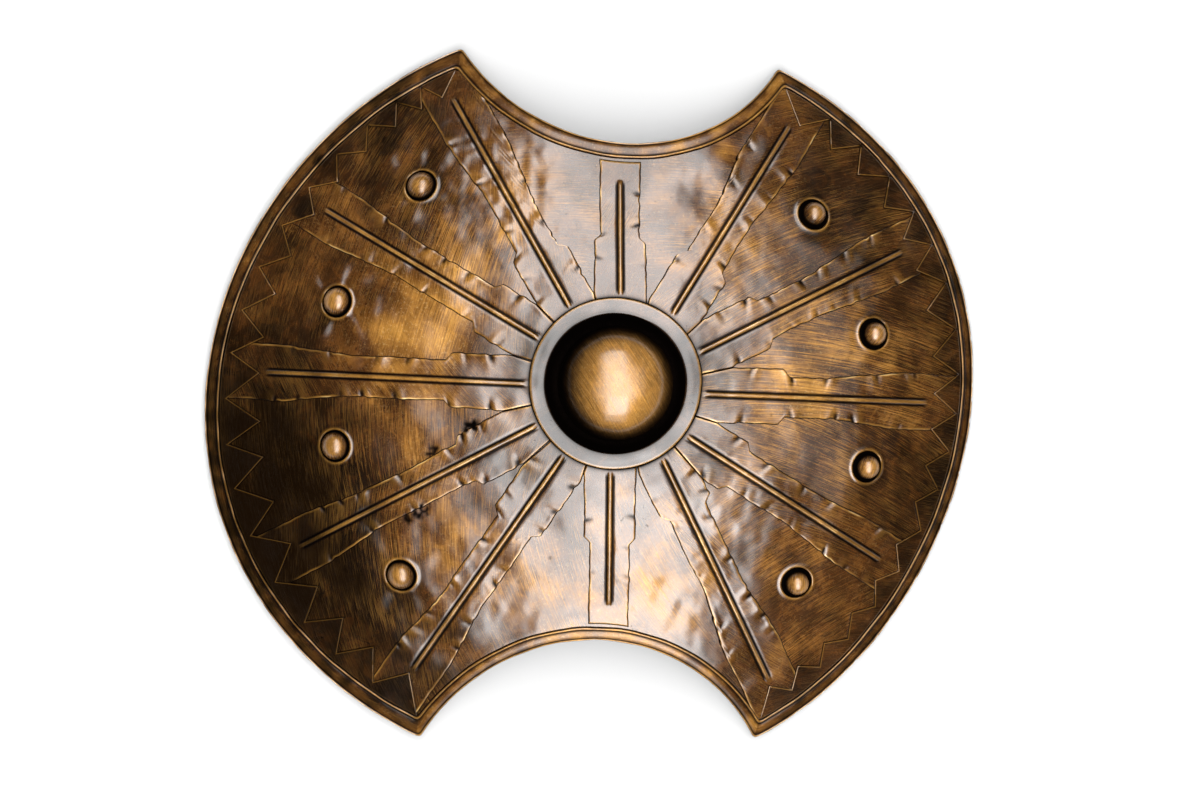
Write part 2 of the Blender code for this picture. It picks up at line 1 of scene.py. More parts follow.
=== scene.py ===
"""Looks of a round bronze shield with two notches, lying face up on the rim that it rests on.

Each sheet of the shield follows one beaten surface, the dish with its dents, so the straps, the
cut borders and the rim lie on the shell as they do on the real one. Metres, +Z up. Plan places
are measured from the boss's axis, which the frame gives.
"""

import logging
import math
from dataclasses import dataclass, field
from enum import Enum

import bmesh
import bpy
import numpy as np
from bmesh.types import BMesh
from bpy.types import Material, NodeSocket as Socket, NodeTree, Object
from mathutils import Matrix, Vector
from mathutils.geometry import delaunay_2d_cdt, intersect_line_line_2d
from numpy import ndarray as Array


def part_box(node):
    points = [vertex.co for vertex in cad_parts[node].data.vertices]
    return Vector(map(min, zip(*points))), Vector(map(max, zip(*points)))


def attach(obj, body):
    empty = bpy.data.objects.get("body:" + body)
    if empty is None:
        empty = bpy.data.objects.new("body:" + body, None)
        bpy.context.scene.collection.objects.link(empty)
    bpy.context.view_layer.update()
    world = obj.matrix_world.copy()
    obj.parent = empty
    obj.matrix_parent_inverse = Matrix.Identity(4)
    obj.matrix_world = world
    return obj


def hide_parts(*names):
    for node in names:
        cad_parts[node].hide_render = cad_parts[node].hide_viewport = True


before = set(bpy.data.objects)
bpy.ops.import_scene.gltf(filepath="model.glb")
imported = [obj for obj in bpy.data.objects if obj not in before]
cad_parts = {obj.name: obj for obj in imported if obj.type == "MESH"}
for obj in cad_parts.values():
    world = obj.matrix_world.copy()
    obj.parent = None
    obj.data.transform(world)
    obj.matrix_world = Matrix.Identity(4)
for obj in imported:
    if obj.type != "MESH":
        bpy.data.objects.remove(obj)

LOG = logging.getLogger("shield")
BODY = "root"
MM = 0.001
SAME_PLACE = 1e-7
HALVINGS = 50
HORN_REACH = 3
SHARPEST_MITRE = 0.35
STROKE_BOW = 1.2
Colour = tuple[float, float, float]
Plan = tuple[float, float]
Stops = tuple[Plan, ...]
Place = tuple[float, float, float]
Row = tuple[float, ...]
Input = Socket | float | tuple


class Side(Enum):
    """The outline's sides, in the order that they are drawn."""

    LEFT = "left"
    BOTTOM = "bottom"
    RIGHT = "right"
    TOP = "top"


def srgb(red: int, green: int, blue: int) -> Colour:
    """Linear colour, as the shaders take it, of a screen colour whose parts run from 0 to 255."""
    shares = [value / 255 for value in (red, green, blue)]
    return tuple(s / 12.92 if s <= 0.04045 else ((s + 0.055) / 1.055) ** 2.4 for s in shares)


def rotated(x: Array, y: Array, degrees: float) -> tuple[Array, Array]:
    """Places along a direction, given in degrees from +X, and across it to its left."""
    turn = math.radians(degrees)
    return x * math.cos(turn) + y * math.sin(turn), y * math.cos(turn) - x * math.sin(turn)


def smooth(values: Array) -> Array:
    """A soft step from 0 to 1 of values that run from 0 to 1."""
    held = np.clip(values, 0.0, 1.0)
    return held * held * (3 - 2 * held)


def around(count: int) -> Array:
    """Evenly spaced directions all round, in radians."""
    return np.linspace(0, 2 * math.pi, count, endpoint=False)


def bump_at(places: Array, middle: float, width: float) -> Array:
    """A soft hump, 1 at its middle."""
    return np.exp(-(((places - middle) / width) ** 2))


def read_stops(place: float, stops: Stops) -> float:
    """The value at a place, from a table of places and values."""
    return float(np.interp(place, *zip(*stops)))


@dataclass(frozen=True)
class Patch:
    """A soft round patch of the surface, which fades to nothing outwards."""

    x: float
    y: float
    reach: float
    strength: float

    def at(self, x: Array, y: Array) -> Array:
        """The patch's value at plan places."""
        return self.strength * np.exp(-((x - self.x) ** 2 + (y - self.y) ** 2) / self.reach**2)


@dataclass(frozen=True)
class Ripples:
    """A seeded field of small waves of nearly one length that run all ways."""

    seed: int
    length: float
    count: int = 26

    def at(self, x: Array, y: Array) -> Array:
        """The field at plan places, about -2 to 2.

        Args:
            x: Places along X.
            y: Places along Y.

        Returns:
            The field's value at each place.
        """
        chance = np.random.default_rng(self.seed)
        turns = chance.uniform(0, 2 * math.pi, self.count)
        spans = self.length * chance.uniform(0.72, 1.4, self.count)
        starts = chance.uniform(0, 2 * math.pi, self.count)
        total = np.zeros_like(x)
        for turn, span, start in zip(turns, spans, starts):
            along = x * math.cos(turn) + y * math.sin(turn)
            total += np.cos(2 * math.pi * along / span + start)
        return total / math.sqrt(self.count / 2)


@dataclass(frozen=True)
class Notch:
    """A notch cut to part of an ellipse: centre, two radii, the first one's direction, and its way out."""

    centre: Plan
    radii: Plan
    turn: float
    faces: float
    search: float = 65.0

    def shares(self, x: Array, y: Array) -> Array:
        """Distance from the ellipse's centre as a share of its radius, 1 on the edge."""
        along, across = rotated(x - self.centre[0], y - self.centre[1], self.turn)
        return np.hypot(along / self.radii[0], across / self.radii[1])

    def angle_of(self, point: Vector) -> float:
        """The ellipse's own angle at a plan point."""
        along, across = rotated(point.x - self.centre[0], point.y - self.centre[1], self.turn)
        return math.atan2(across / self.radii[1], along / self.radii[0])

    def point(self, angle: float) -> Vector:
        """The edge's point at the ellipse's own angle."""
        local = Vector((self.radii[0] * math.cos(angle), self.radii[1] * math.sin(angle)))
        return Vector(self.centre) + Matrix.Rotation(math.radians(self.turn), 2) @ local


@dataclass
class BeatenForm:
    """The shield's plan, its dish and the dents that every sheet of it shares."""

    radius: float = 0.3782
    waves: tuple = ((1, 0.0285, -148.5), (2, 0.0071, 61.7), (3, 0.0013, 137.4), (4, 0.0027, 64.1))
    top_notch: Notch = Notch((0.0009, 0.4321), (0.2031, 0.1808), -58.7, 90)
    bottom_notch: Notch = Notch((-0.0352, -0.4635), (0.2160, 0.1920), 71.6, 265)
    rise: float = 0.102
    foot: float = 0.006
    rim_widths: dict[Side, Plan] = field(default_factory=lambda: {
        Side.LEFT: (0.0153, 0.0190),
        Side.BOTTOM: (0.0135, 0.0135),
        Side.RIGHT: (0.0128, 0.0150),
        Side.TOP: (0.0160, 0.0160),
    })
    curve_points: int = 240
    long_wave: float = 0.00040
    middle_wave: float = 0.00018
    short_wave: float = 0.00008
    turn_up: float = 0.0009
    turn_up_reach: float = 0.007
    calm_edge: Plan = (0.004, 0.020)
    plain_beating: float = 0.30
    long_ripples: Ripples = Ripples(11, 0.062)
    middle_ripples: Ripples = Ripples(12, 0.024)
    short_ripples: Ripples = Ripples(13, 0.012)
    gild_ripples: Ripples = Ripples(21, 0.045)
    gild_sway: float = 0.06
    brush_ripples: Ripples = Ripples(22, 0.060)
    plain_brushing: float = 0.42
    brush_sway: float = 0.10
    most_brushing: float = 1.3
    stain_ripples: Ripples = Ripples(23, 0.0065)
    stain_raggedness: float = 0.55
    stain_gain: float = 1.8
    stain_edge: float = 0.50
    stain_depth: float = 0.0003
    beaten: tuple[Patch, ...] = (
        Patch(-0.100, 0.190, 0.060, 1.1), Patch(0.070, 0.195, 0.060, 0.20),
        Patch(-0.190, 0.195, 0.045, 1.1), Patch(-0.255, 0.095, 0.055, 1.3),
        Patch(-0.120, -0.215, 0.055, 0.3), Patch(0.045, -0.205, 0.055, 0.6),
        Patch(0.130, -0.130, 0.050, 0.8), Patch(-0.200, -0.170, 0.060, 0.4),
        Patch(0.120, 0.110, 0.050, 0.5),
    )
    # Gold laid on and taken off, which also paints the dish's light and shade: the negative patches darken
    # the outer parts, the far left most, and dull their sheen.
    gold_and_shade_patches: tuple[Patch, ...] = (
        Patch(-0.205, 0.045, 0.055, 0.55), Patch(-0.150, 0.110, 0.045, 0.25),
        Patch(-0.090, 0.190, 0.045, 0.30), Patch(-0.160, -0.165, 0.070, 0.22),
        Patch(-0.060, -0.200, 0.050, 0.45), Patch(0.045, -0.195, 0.050, 0.40),
        Patch(0.175, -0.010, 0.070, 0.18), Patch(0.150, -0.035, 0.065, 0.10),
        Patch(0.000, 0.000, 0.105, -0.15), Patch(-0.118, -0.086, 0.040, -0.12),
        Patch(-0.315, 0.090, 0.060, -0.15), Patch(0.200, 0.032, 0.055, 0.20),
        Patch(0.110, 0.135, 0.050, 0.38), Patch(0.075, 0.185, 0.050, 0.16),
        Patch(-0.185, -0.060, 0.050, 0.15), Patch(-0.345, -0.060, 0.095, -0.60),
        Patch(-0.310, -0.180, 0.085, -0.50), Patch(-0.230, -0.260, 0.070, -0.30),
        Patch(-0.215, 0.255, 0.070, -0.25), Patch(0.280, -0.100, 0.080, -0.25),
        Patch(0.285, 0.080, 0.070, -0.20), Patch(0.230, 0.180, 0.070, -0.15),
        Patch(0.115, 0.014, 0.030, -0.20), Patch(-0.150, 0.044, 0.030, 0.18),
        Patch(0.185, -0.020, 0.024, 0.30), Patch(-0.020, -0.176, 0.028, -0.18),
    )
    stains: tuple[Patch, ...] = (
        Patch(-0.1365, -0.0395, 0.0050, 1.9), Patch(-0.1440, -0.0420, 0.0036, 1.5),
        Patch(-0.1735, -0.0635, 0.0042, 1.3), Patch(-0.1790, -0.0670, 0.0036, 1.1),
        Patch(-0.2015, -0.1315, 0.0040, 1.8), Patch(-0.1850, -0.1225, 0.0060, 1.2),
        Patch(-0.1930, -0.1260, 0.0040, 1.1), Patch(-0.0620, -0.1690, 0.0020, 0.9),
        Patch(-0.0930, -0.1900, 0.0018, 0.9),
    )
    brushed: tuple[Patch, ...] = (
        Patch(0.200, 0.060, 0.090, 0.70), Patch(0.190, -0.050, 0.090, 0.60),
        Patch(0.260, 0.020, 0.070, 0.40), Patch(0.130, 0.140, 0.050, 0.30),
        Patch(-0.130, 0.130, 0.055, 0.55), Patch(-0.130, -0.070, 0.050, 0.35),
        Patch(-0.050, -0.190, 0.050, 0.35), Patch(0.060, -0.170, 0.055, 0.55),
        Patch(-0.260, 0.060, 0.080, -0.20), Patch(-0.270, -0.140, 0.090, 0.25),
    )

    def __post_init__(self) -> None:
        """Draws the four sides of the outline."""
        self.sides = self._outline()

    def radius_at(self, angle: Array) -> Array:
        """Distance from the boss to the round outline, in directions given in radians."""
        waves = [size * np.cos(count * angle - math.radians(phase)) for count, size, phase in self.waves]
        return self.radius + sum(waves)

    def on_oval(self, degrees: float, inset: float = 0.0) -> Vector:
        """The round outline's point in a direction, moved in towards the boss."""
        turn = math.radians(degrees)
        return Vector((math.cos(turn), math.sin(turn))) * (float(self.radius_at(turn)) - inset)

    def dish(self, x: Array, y: Array) -> Array:
        """Height of the smooth dish, before any dent."""
        share = np.hypot(x, y) / self.radius_at(np.arctan2(y, x))
        return self.foot + self.rise * (1 - share * share)

    def inset(self, x: Array, y: Array) -> Array:
        """How far plan places are in from the outline, nearly."""
        round_edge = self.radius_at(np.arctan2(y, x)) - np.hypot(x, y)
        top, bottom = (
            (notch.shares(x, y) - 1) * sum(notch.radii) / 2 for notch in (self.top_notch, self.bottom_notch)
        )
        return np.minimum(np.minimum(round_edge, top), bottom)

    def face(self, x: Array, y: Array) -> Array:
        """Height of the beaten shell's face, which every sheet follows.

        Args:
            x: Places along X.
            y: Places along Y.

        Returns:
            The height at each place.
        """
        struck = self.plain_beating + sum(patch.at(x, y) for patch in self.beaten)
        waves = self.long_wave * self.long_ripples.at(x, y)
        waves += struck * self.middle_wave * self.middle_ripples.at(x, y)
        waves += struck * self.short_wave * self.short_ripples.at(x, y)
        depth = self.inset(x, y)
        held = smooth((depth - self.calm_edge[0]) / self.calm_edge[1])
        inside = np.maximum(depth - self.rim_widths[Side.TOP][0], 0.0)
        curl = self.turn_up * np.exp(-inside / self.turn_up_reach)
        return self.dish(x, y) + waves * held + curl - self.stain_depth * self.staining(x, y)

    def gilding_and_shading(self, x: Array, y: Array) -> Array:
        """How richly the gold lies at plan places, about -0.5 to 0.6; low values paint shade as well, darkest
        on the far left.
        """
        return sum(patch.at(x, y) for patch in self.gold_and_shade_patches) + self.gild_sway * self.gild_ripples.at(x, y)

    def brushing(self, x: Array, y: Array) -> Array:
        """How clearly the brush's strokes show at plan places, from 0."""
        found = self.plain_brushing + sum(patch.at(x, y) for patch in self.brushed)
        return np.clip(found + self.brush_sway * self.brush_ripples.at(x, y), 0.0, self.most_brushing)

    def staining(self, x: Array, y: Array) -> Array:
        """How black the damaged spots are at plan places, 0 to 1."""
        ragged = self.stain_raggedness * self.stain_ripples.at(x, y)
        found = sum(patch.at(x, y) for patch in self.stains) * (1 + ragged)
        return np.clip(found * self.stain_gain - self.stain_edge, 0.0, 1.0)

    def rim_width(self, side: Side, share: float) -> float:
        """The rim's width at a share of the way along a side."""
        middle, end = self.rim_widths[side]
        return middle + (end - middle) * (2 * share - 1) ** 2

    def _horn(self, notch: Notch, step: int) -> float:
        """Direction of the horn on one side of a notch, found by halving.

        Args:
            notch: The notch.
            step: 1 to look anticlockwise of it, -1 clockwise.

        Returns:
            The direction in degrees.
        """
        inner, outer = notch.faces, notch.faces + step * notch.search
        for _ in range(HALVINGS):
            middle = (inner + outer) / 2
            spot = self.on_oval(middle)
            if notch.shares(spot.x, spot.y) < 1:
                inner = middle
            else:
                outer = middle
        return (inner + outer) / 2

    def _arc(self, start: float, end: float) -> list[Vector]:
        """The round outline between two directions."""
        shares = (i / self.curve_points for i in range(self.curve_points + 1))
        return [self.on_oval(start + (end - start) * share) for share in shares]

    def _notch_run(self, notch: Notch, start: float, end: float) -> list[Vector]:
        """The notch's edge from one horn to the next."""
        first, last = (notch.angle_of(self.on_oval(angle)) for angle in (start, end))
        while last > first:
            last -= 2 * math.pi
        shares = (i / self.curve_points for i in range(self.curve_points + 1))
        return [notch.point(first + (last - first) * share) for share in shares]

    def _outline(self) -> dict[Side, list[Vector]]:
        """The four sides, anticlockwise from the upper left horn."""
        upper_left, upper_right = self._horn(self.top_notch, 1), self._horn(self.top_notch, -1)
        lower_left, lower_right = self._horn(self.bottom_notch, -1), self._horn(self.bottom_notch, 1)
        return {
            Side.LEFT: self._arc(upper_left, lower_left),
            Side.BOTTOM: self._notch_run(self.bottom_notch, lower_left, lower_right),
            Side.RIGHT: self._arc(lower_right - 360, upper_right),
            Side.TOP: self._notch_run(self.top_notch, upper_right, upper_left),
        }

    def inset_runs(self, depth: float, rim_share: float = 0.0) -> dict[Side, list[Vector]]:
        """The four sides moved in and cut where they meet.

        Args:
            depth: How far they move in.
            rim_share: The share of the rim's width that they move in as well.

        Returns:
            The runs of points, by side.
        """
        runs = []
        for side, points in self.sides.items():
            run = []
            last = len(points) - 1
            for i, point in enumerate(points):
                along = points[min(i + 1, last)] - points[max(i - 1, 0)]
                reach = depth + rim_share * self.rim_width(side, i / last)
                run.append(point + Vector((-along.y, along.x)).normalized() * reach)
            runs.append(run)
        if depth + rim_share > 0:
            corners = [meeting(runs[k - 1], runs[k]) for k in range(len(runs))]
            for k, run in enumerate(runs):
                start, end = corners[k], corners[(k + 1) % len(runs)]
                runs[k] = [start[2], *run[start[1] + 1:end[0] + 1], end[2]]
        return dict(zip(self.sides, runs))

    def inset_loop(self, depth: float, rim_share: float, step: float, rounding: int = 0) -> Array:
        """The outline moved in, as one loop with the same count of points at every depth.

        Args:
            depth: How far it moves in.
            rim_share: The share of the rim's width that it moves in as well.
            step: About how far apart the points are.
            rounding: How many times the corners at the horns are softened.

        Returns:
            The loop's plan points.
        """
        loop, horns = [], []
        for side, run in self.inset_runs(depth, rim_share).items():
            horns.append(len(loop))
            loop += evenly(run, round(run_length(self.sides[side]) / step))
        spots = np.array(loop)
        for _ in range(rounding):
            softened = (np.roll(spots, 1, 0) + 2 * spots + np.roll(spots, -1, 0)) / 4
            for horn in horns:
                near = np.arange(horn - HORN_REACH, horn + HORN_REACH + 1) % len(spots)
                spots[near] = softened[near]
        return spots


def run_length(points: list[Vector]) -> float:
    """Length of a run of points."""
    return sum((b - a).length for a, b in zip(points, points[1:]))


def evenly(points: list[Vector], count: int) -> list[Vector]:
    """The run cut to equal steps, its last point left out.

    Args:
        points: The run.
        count: How many steps.

    Returns:
        The points.
    """
    step = run_length(points) / count
    cut, walked, wanted = [], 0.0, 0.0
    for a, b in zip(points, points[1:]):
        length = (b - a).length
        while len(cut) < count and wanted <= walked + length + SAME_PLACE:
            cut.append(a.lerp(b, (wanted - walked) / length if length else 0.0))
            wanted += step
        walked += length
    return cut


def meeting(first: list[Vector], second: list[Vector]) -> tuple[int, int, Vector]:
    """Where the end of one side crosses the start of the next.

    Args:
        first: The side that ends there.
        second: The side that starts there.

    Returns:
        The place of the crossing in each side, and the point.
    """
    for i in range(len(first) - 2, len(first) // 2, -1):
        for j in range(len(second) // 2):
            met = intersect_line_line_2d(first[i], first[i + 1], second[j], second[j + 1])
            if met:
                return i, j, Vector(met[:2])
    return len(first) - 1, 0, (first[-1] + second[0]) / 2


def within(x: Array, y: Array, outline: Array) -> Array:
    """Tells which places lie inside a closed outline.

    Args:
        x: Places along X.
        y: Places along Y.
        outline: The outline's plan points.

    Returns:
        True where a place is inside.
    """
    found = np.zeros(len(x), bool)
    for (ax, ay), (bx, by) in zip(outline, np.roll(outline, -1, 0)):
        if ay == by:
            continue
        spans = (ay > y) != (by > y)
        found ^= spans & (x < ax + (bx - ax) * (y - ay) / (by - ay))
    return found


def moved_outline(outline: Array, depth: float) -> Array:
    """An anticlockwise closed outline moved in, its corners mitred.

    Args:
        outline: The outline's plan points.
        depth: How far it moves in.

    Returns:
        The moved points.
    """
    along = np.roll(outline, -1, 0) - outline
    along /= np.maximum(np.linalg.norm(along, axis=1, keepdims=True), SAME_PLACE)
    normal = np.stack([-along[:, 1], along[:, 0]], axis=1)
    before = np.roll(normal, 1, 0)
    opening = np.maximum(1 + (normal * before).sum(1, keepdims=True), SHARPEST_MITRE)
    return outline + depth * (normal + before) / opening


@dataclass
class Coat:
    """What a mesh carries point by point for its finish."""

    wear: Array
    grime: Array
    gild: Array
    brush: Array
    stroke: Array

    @staticmethod
    def plain(count: int, brush: float = 0.6) -> "Coat":
        """A coat with no wear, painted highlight, grime, painted shade or gilding on so many points, brushed
        evenly.
        """
        wear, grime, gild = np.zeros((3, count))
        return Coat(wear, grime, gild, np.full(count, brush), np.zeros((count, 3)))

    @staticmethod
    def for_sheet(form: BeatenForm, x: Array, y: Array, strokes: Array) -> "Coat":
        """The coat of a sheet's face and then its underside, gilded with its painted light and shade, and
        brushed as the form says.

        Args:
            form: The shield's form.
            x: Places of the face's points along X.
            y: Places of the face's points along Y.
            strokes: Where they lie along and across the brush's strokes.

        Returns:
            The coat.
        """
        coat = Coat.plain(2 * x.size)
        coat.gild[:] = np.tile(form.gilding_and_shading(x, y).ravel(), 2)
        coat.brush[:] = np.tile(form.brushing(x, y).ravel(), 2)
        coat.stroke[:] = np.tile(strokes.reshape(-1, 3), (2, 1))
        return coat


class Bench:
    def __init__(self) -> None:
        """Reads the boss's axis from the frame."""
        low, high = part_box("boss")
        self.axis = Vector(((low.x + high.x) / 2, (low.y + high.y) / 2, 0.0))

    def piece(self, name: str, shape: BMesh, coat: Coat | None, finish: Material,
              stands_for: str | None, sharp: float = 50.0) -> Object:
        """Makes one piece of the shield from a shape drawn about the boss's axis.

        Args:
            name: The piece's name.
            shape: Its closed mesh, which is freed.
            coat: What its points carry, in the order of the shape's points.
            finish: Its material.
            stands_for: The solid that it replaces, if it does.
            sharp: The angle in degrees from which an edge is drawn sharp.

        Returns:
            The object.
        """
        if coat is not None:
            # The wear carries painted highlights as well, and the grime and the gold carry painted shade.
            for label in ("wear", "grime", "gild", "brush"):
                layer = shape.verts.layers.float.new(label)
                for vertex, value in zip(shape.verts, getattr(coat, label).tolist()):
                    vertex[layer] = value
            layer = shape.verts.layers.float_vector.new("stroke")
            for vertex, value in zip(shape.verts, coat.stroke.tolist()):
                vertex[layer] = value
        bmesh.ops.remove_doubles(shape, verts=shape.verts, dist=SAME_PLACE)
        bmesh.ops.recalc_face_normals(shape, faces=shape.faces)
        bmesh.ops.translate(shape, verts=shape.verts, vec=self.axis)
        mesh = bpy.data.meshes.new(name)
        shape.to_mesh(mesh)
        shape.free()
        mesh.shade_smooth()
        mesh.set_sharp_from_angle(angle=math.radians(sharp))
        mesh.materials.append(finish)
        made = bpy.data.objects.new(name, mesh)
        bpy.context.scene.collection.objects.link(made)
        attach(made, BODY)
        if stands_for:
            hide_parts(stands_for)
        LOG.info("%s: %d faces", name, len(mesh.polygons))
        return made


def lattice_shape(rows: Array, under: Array) -> BMesh:
    """A closed sheet from two grids of points, its face and its underside.

    Args:
        rows: The face's points, row by row.
        under: The underside's points, as many.

    Returns:
        The mesh, its face's points first.
    """
    shape = bmesh.new()
    count, wide = rows.shape[:2]
    top, low = ([shape.verts.new(p) for p in grid.reshape(-1, 3).tolist()] for grid in (rows, under))
    for r in range(count - 1):
        for c in range(wide - 1):
            a, b = r * wide + c, (r + 1) * wide + c
            shape.faces.new((top[a], top[b], top[b + 1], top[a + 1]))
            shape.faces.new((low[a], low[a + 1], low[b + 1], low[b]))
    ring = [*range(wide), *(r * wide + wide - 1 for r in range(1, count))]
    ring += [(count - 1) * wide + c for c in range(wide - 2, -1, -1)]
    ring += [r * wide for r in range(count - 2, 0, -1)]
    for a, b in zip(ring, ring[1:] + ring[:1]):
        shape.faces.new((top[a], top[b], low[b], low[a]))
    return shape


def swept_shape(loops: Array, closed: bool = True) -> BMesh:
    """A mesh swept round from a section, one loop of points for each point of the section.

    Args:
        loops: The loops, all with the same count of points.
        closed: Whether the section's last point joins its first.

    Returns:
        The mesh.
    """
    shape = bmesh.new()
    rings = [[shape.verts.new(point) for point in loop] for loop in loops.tolist()]
    pairs = list(zip(rings, rings[1:] + rings[:1])) if closed else list(zip(rings, rings[1:]))
    for here, after in pairs:
        for i, vertex in enumerate(here):
            j = (i + 1) % len(here)
            shape.faces.new((vertex, after[i], after[j], here[j]))
    return shape


def plate_shape(spots: Array, cells: list, low: Array, high: Array) -> BMesh:
    """A closed plate over plan cells, between two heights at each point.

    Args:
        spots: The plan points.
        cells: The plan's triangles.
        low: Heights of the underside.
        high: Heights of the face.

    Returns:
        The mesh, its face's points first.
    """
    shape = bmesh.new()
    top = [shape.verts.new((x, y, z)) for (x, y), z in zip(spots.tolist(), high.tolist())]
    under = [shape.verts.new((x, y, z)) for (x, y), z in zip(spots.tolist(), low.tolist())]
    border = set()
    for cell in cells:
        shape.faces.new([top[i] for i in cell])
        shape.faces.new([under[i] for i in reversed(cell)])
        for a, b in zip(cell, cell[1:] + cell[:1]):
            if (b, a) in border:
                border.remove((b, a))
            else:
                border.add((a, b))
    for a, b in sorted(border):
        shape.faces.new((top[b], top[a], under[a], under[b]))
    return shape


def plan_cells(loops: list[Array], loose: Array) -> tuple[Array, list, list[int]]:
    """Cuts a plan into triangles along closed loops and through loose points.

    Args:
        loops: The closed loops.
        loose: The loose points.

    Returns:
        The plan points, the triangles, and for each point its first loop's number, or -1.
    """
    points, edges, numbers = [], [], []
    for number, loop in enumerate(loops):
        first = len(points)
        points += [Vector(spot) for spot in loop.tolist()]
        edges += [(first + i, first + (i + 1) % len(loop)) for i in range(len(loop))]
        numbers += [number] * len(loop)
    points += [Vector(spot) for spot in loose.tolist()]
    numbers += [-1] * len(loose)
    plan, _, cells, origins = delaunay_2d_cdt(points, edges, [], 0, SAME_PLACE)[:4]
    return np.array(plan), cells, [numbers[origin[0]] if origin else 0 for origin in origins]


def used_only(spots: Array, cells: list, numbers: list[int]) -> tuple[Array, list, Array]:
    """The plan without the points that no kept cell uses."""
    used = sorted({i for cell in cells for i in cell})
    place = {i: k for k, i in enumerate(used)}
    return spots[used], [[place[i] for i in cell] for cell in cells], np.array(numbers)[used]


@dataclass(frozen=True)
class StrapPlan:
    """Direction of a strap, its rib's side offset, where its edge steps in, and how its paint was brushed."""

    turn: float
    offset: float
    step: float
    grain: float


@dataclass
class Layout:
    """Where the straps, the studs and the panels between the straps lie."""

    straps: dict[str, StrapPlan] = field(default_factory=lambda: {
        "strap_top": StrapPlan(90.1, -0.0051, 0.142, 82),
        "strap_upper_left": StrapPlan(119.2, 0.0022, 0.154, 118),
        "strap_left_high": StrapPlan(148.8, 0.0010, 0.145, 95),
        "strap_left": StrapPlan(177.3, 0.0042, 0.162, 150),
        "strap_left_low": StrapPlan(-153.0, 0.0016, 0.160, 52),
        "strap_lower_left": StrapPlan(-125.1, -0.0009, 0.166, 60),
        "strap_bottom": StrapPlan(-90.6, -0.0039, 0.154, 92),
        "strap_lower_right": StrapPlan(-64.2, 0.0093, 0.140, 112),
        "strap_right_low": StrapPlan(-32.5, -0.0057, 0.141, 4),
        "strap_right": StrapPlan(-2.1, -0.0069, 0.164, 17),
        "strap_right_high": StrapPlan(26.4, -0.0090, 0.155, 47),
        "strap_upper_right": StrapPlan(58.0, -0.0112, 0.145, 52),
    })
    panel_grains: Row = (-12, 88, 72, 84, 66, 84, 98, 35, 3, 17, 50, 12)
    panel_start: float = -0.05
    studs: dict[str, Plan] = field(default_factory=lambda: {
        "stud_left_1": (0.106, 134.4),
        "stud_left_2": (0.113, 163.5),
        "stud_left_3": (0.134, 192.5),
        "stud_left_4": (0.131, 221.8),
        "stud_right_1": (0.103, 40.5),
        "stud_right_2": (0.102, 10.9),
        "stud_right_3": (0.0965, -18.2),
        "stud_right_4": (0.103, -47.6),
    })
    creases: dict[str, float] = field(default_factory=lambda: {
        "stud_left_1": 0.00055,
        "stud_left_2": 0.00105,
        "stud_left_4": 0.00030,
    })
    tooth_tips: dict[Side, Row] = field(default_factory=lambda: {
        Side.LEFT: (121.1, 125.1, 130.4, 136.9, 143.9, 150.6, 158.4, 165.1, 172.4,
                    178.2, 186.0, 191.7, 199.0, 206.2, 214.3, 220.7, 227.4, 234.5),
        Side.RIGHT: (-62.9, -57.0, -51.1, -44.0, -37.0, -29.7, -21.4, -14.7, -8.1,
                     -1.7, 5.0, 13.3, 20.7, 26.7, 33.3, 40.8, 47.4, 54.4),
    })
    tip_depths: dict[Side, Stops] = field(default_factory=lambda: {
        Side.LEFT: ((121, 0.0225), (141, 0.026), (186, 0.0445), (212, 0.0435), (235, 0.0375)),
        Side.RIGHT: ((-63, 0.0265), (-44, 0.0245), (-20, 0.0245), (-8, 0.0285), (10, 0.0315), (27, 0.0275)),
    })
    root_strips: dict[Side, Stops] = field(default_factory=lambda: {
        Side.LEFT: ((121, 0.0015), (150, 0.009), (235, 0.009)),
        Side.RIGHT: ((-45, 0.010), (0, 0.004), (54, 0.003)),
    })
    short: tuple[str, str] = ("strap_top", "strap_bottom")
    root: float = 0.0265
    waist: float = 0.0195
    tip: float = 0.0275
    short_root: float = 0.0247
    short_waist: float = 0.0192
    step_length: float = 0.006
    flare_start: float = 0.145
    flare_end: float = 0.078
    collar_inner: float = 0.067

    def widths(self, form: BeatenForm, name: str) -> tuple[Array, Array]:
        """Distances from the boss, and half the strap's width at each.

        Args:
            form: The shield's form.
            name: The strap's name.

        Returns:
            The distances and the half widths.
        """
        strap = self.straps[name]
        half = self.step_length / 2
        spans = [self.collar_inner, strap.step - half, strap.step + half]
        if name in self.short:
            return np.array(spans), np.array([self.short_root, self.short_root, self.short_waist])
        reach = float(form.radius_at(math.radians(strap.turn)))
        spans += [reach - self.flare_start, reach - self.flare_end]
        return np.array(spans), np.array([self.root, self.root, self.waist, self.waist, self.tip])

    def over_strap(self, form: BeatenForm, x: Array, y: Array, margin: float) -> Array:
        """1 over a strap, falling to 0 at twice the margin beside it.

        Args:
            form: The shield's form.
            x: Places along X.
            y: Places along Y.
            margin: How far beside a strap it still counts in full.

        Returns:
            The share at each place.
        """
        share = np.zeros_like(x)
        for name, strap in self.straps.items():
            along, across = rotated(x, y, strap.turn)
            beside = np.abs(across - strap.offset) - np.interp(along, *self.widths(form, name))
            share = np.maximum(share, np.where(along > 0, smooth((2 * margin - beside) / margin), 0.0))
        return share

    def panel_grain(self, x: Array, y: Array) -> Array:
        """Direction of the brush in the panel at each place, in degrees."""
        grain = np.full_like(x, self.panel_grains[0])
        plans = list(self.straps.values())
        for k, strap in enumerate(plans):
            beside = plans[(k + 1) % len(plans)]
            along, across = rotated(x, y, strap.turn)
            _, beyond = rotated(x, y, beside.turn)
            here = (along > self.panel_start) & (across >= strap.offset) & (beyond < beside.offset)
            grain[here] = self.panel_grains[k]
        return grain

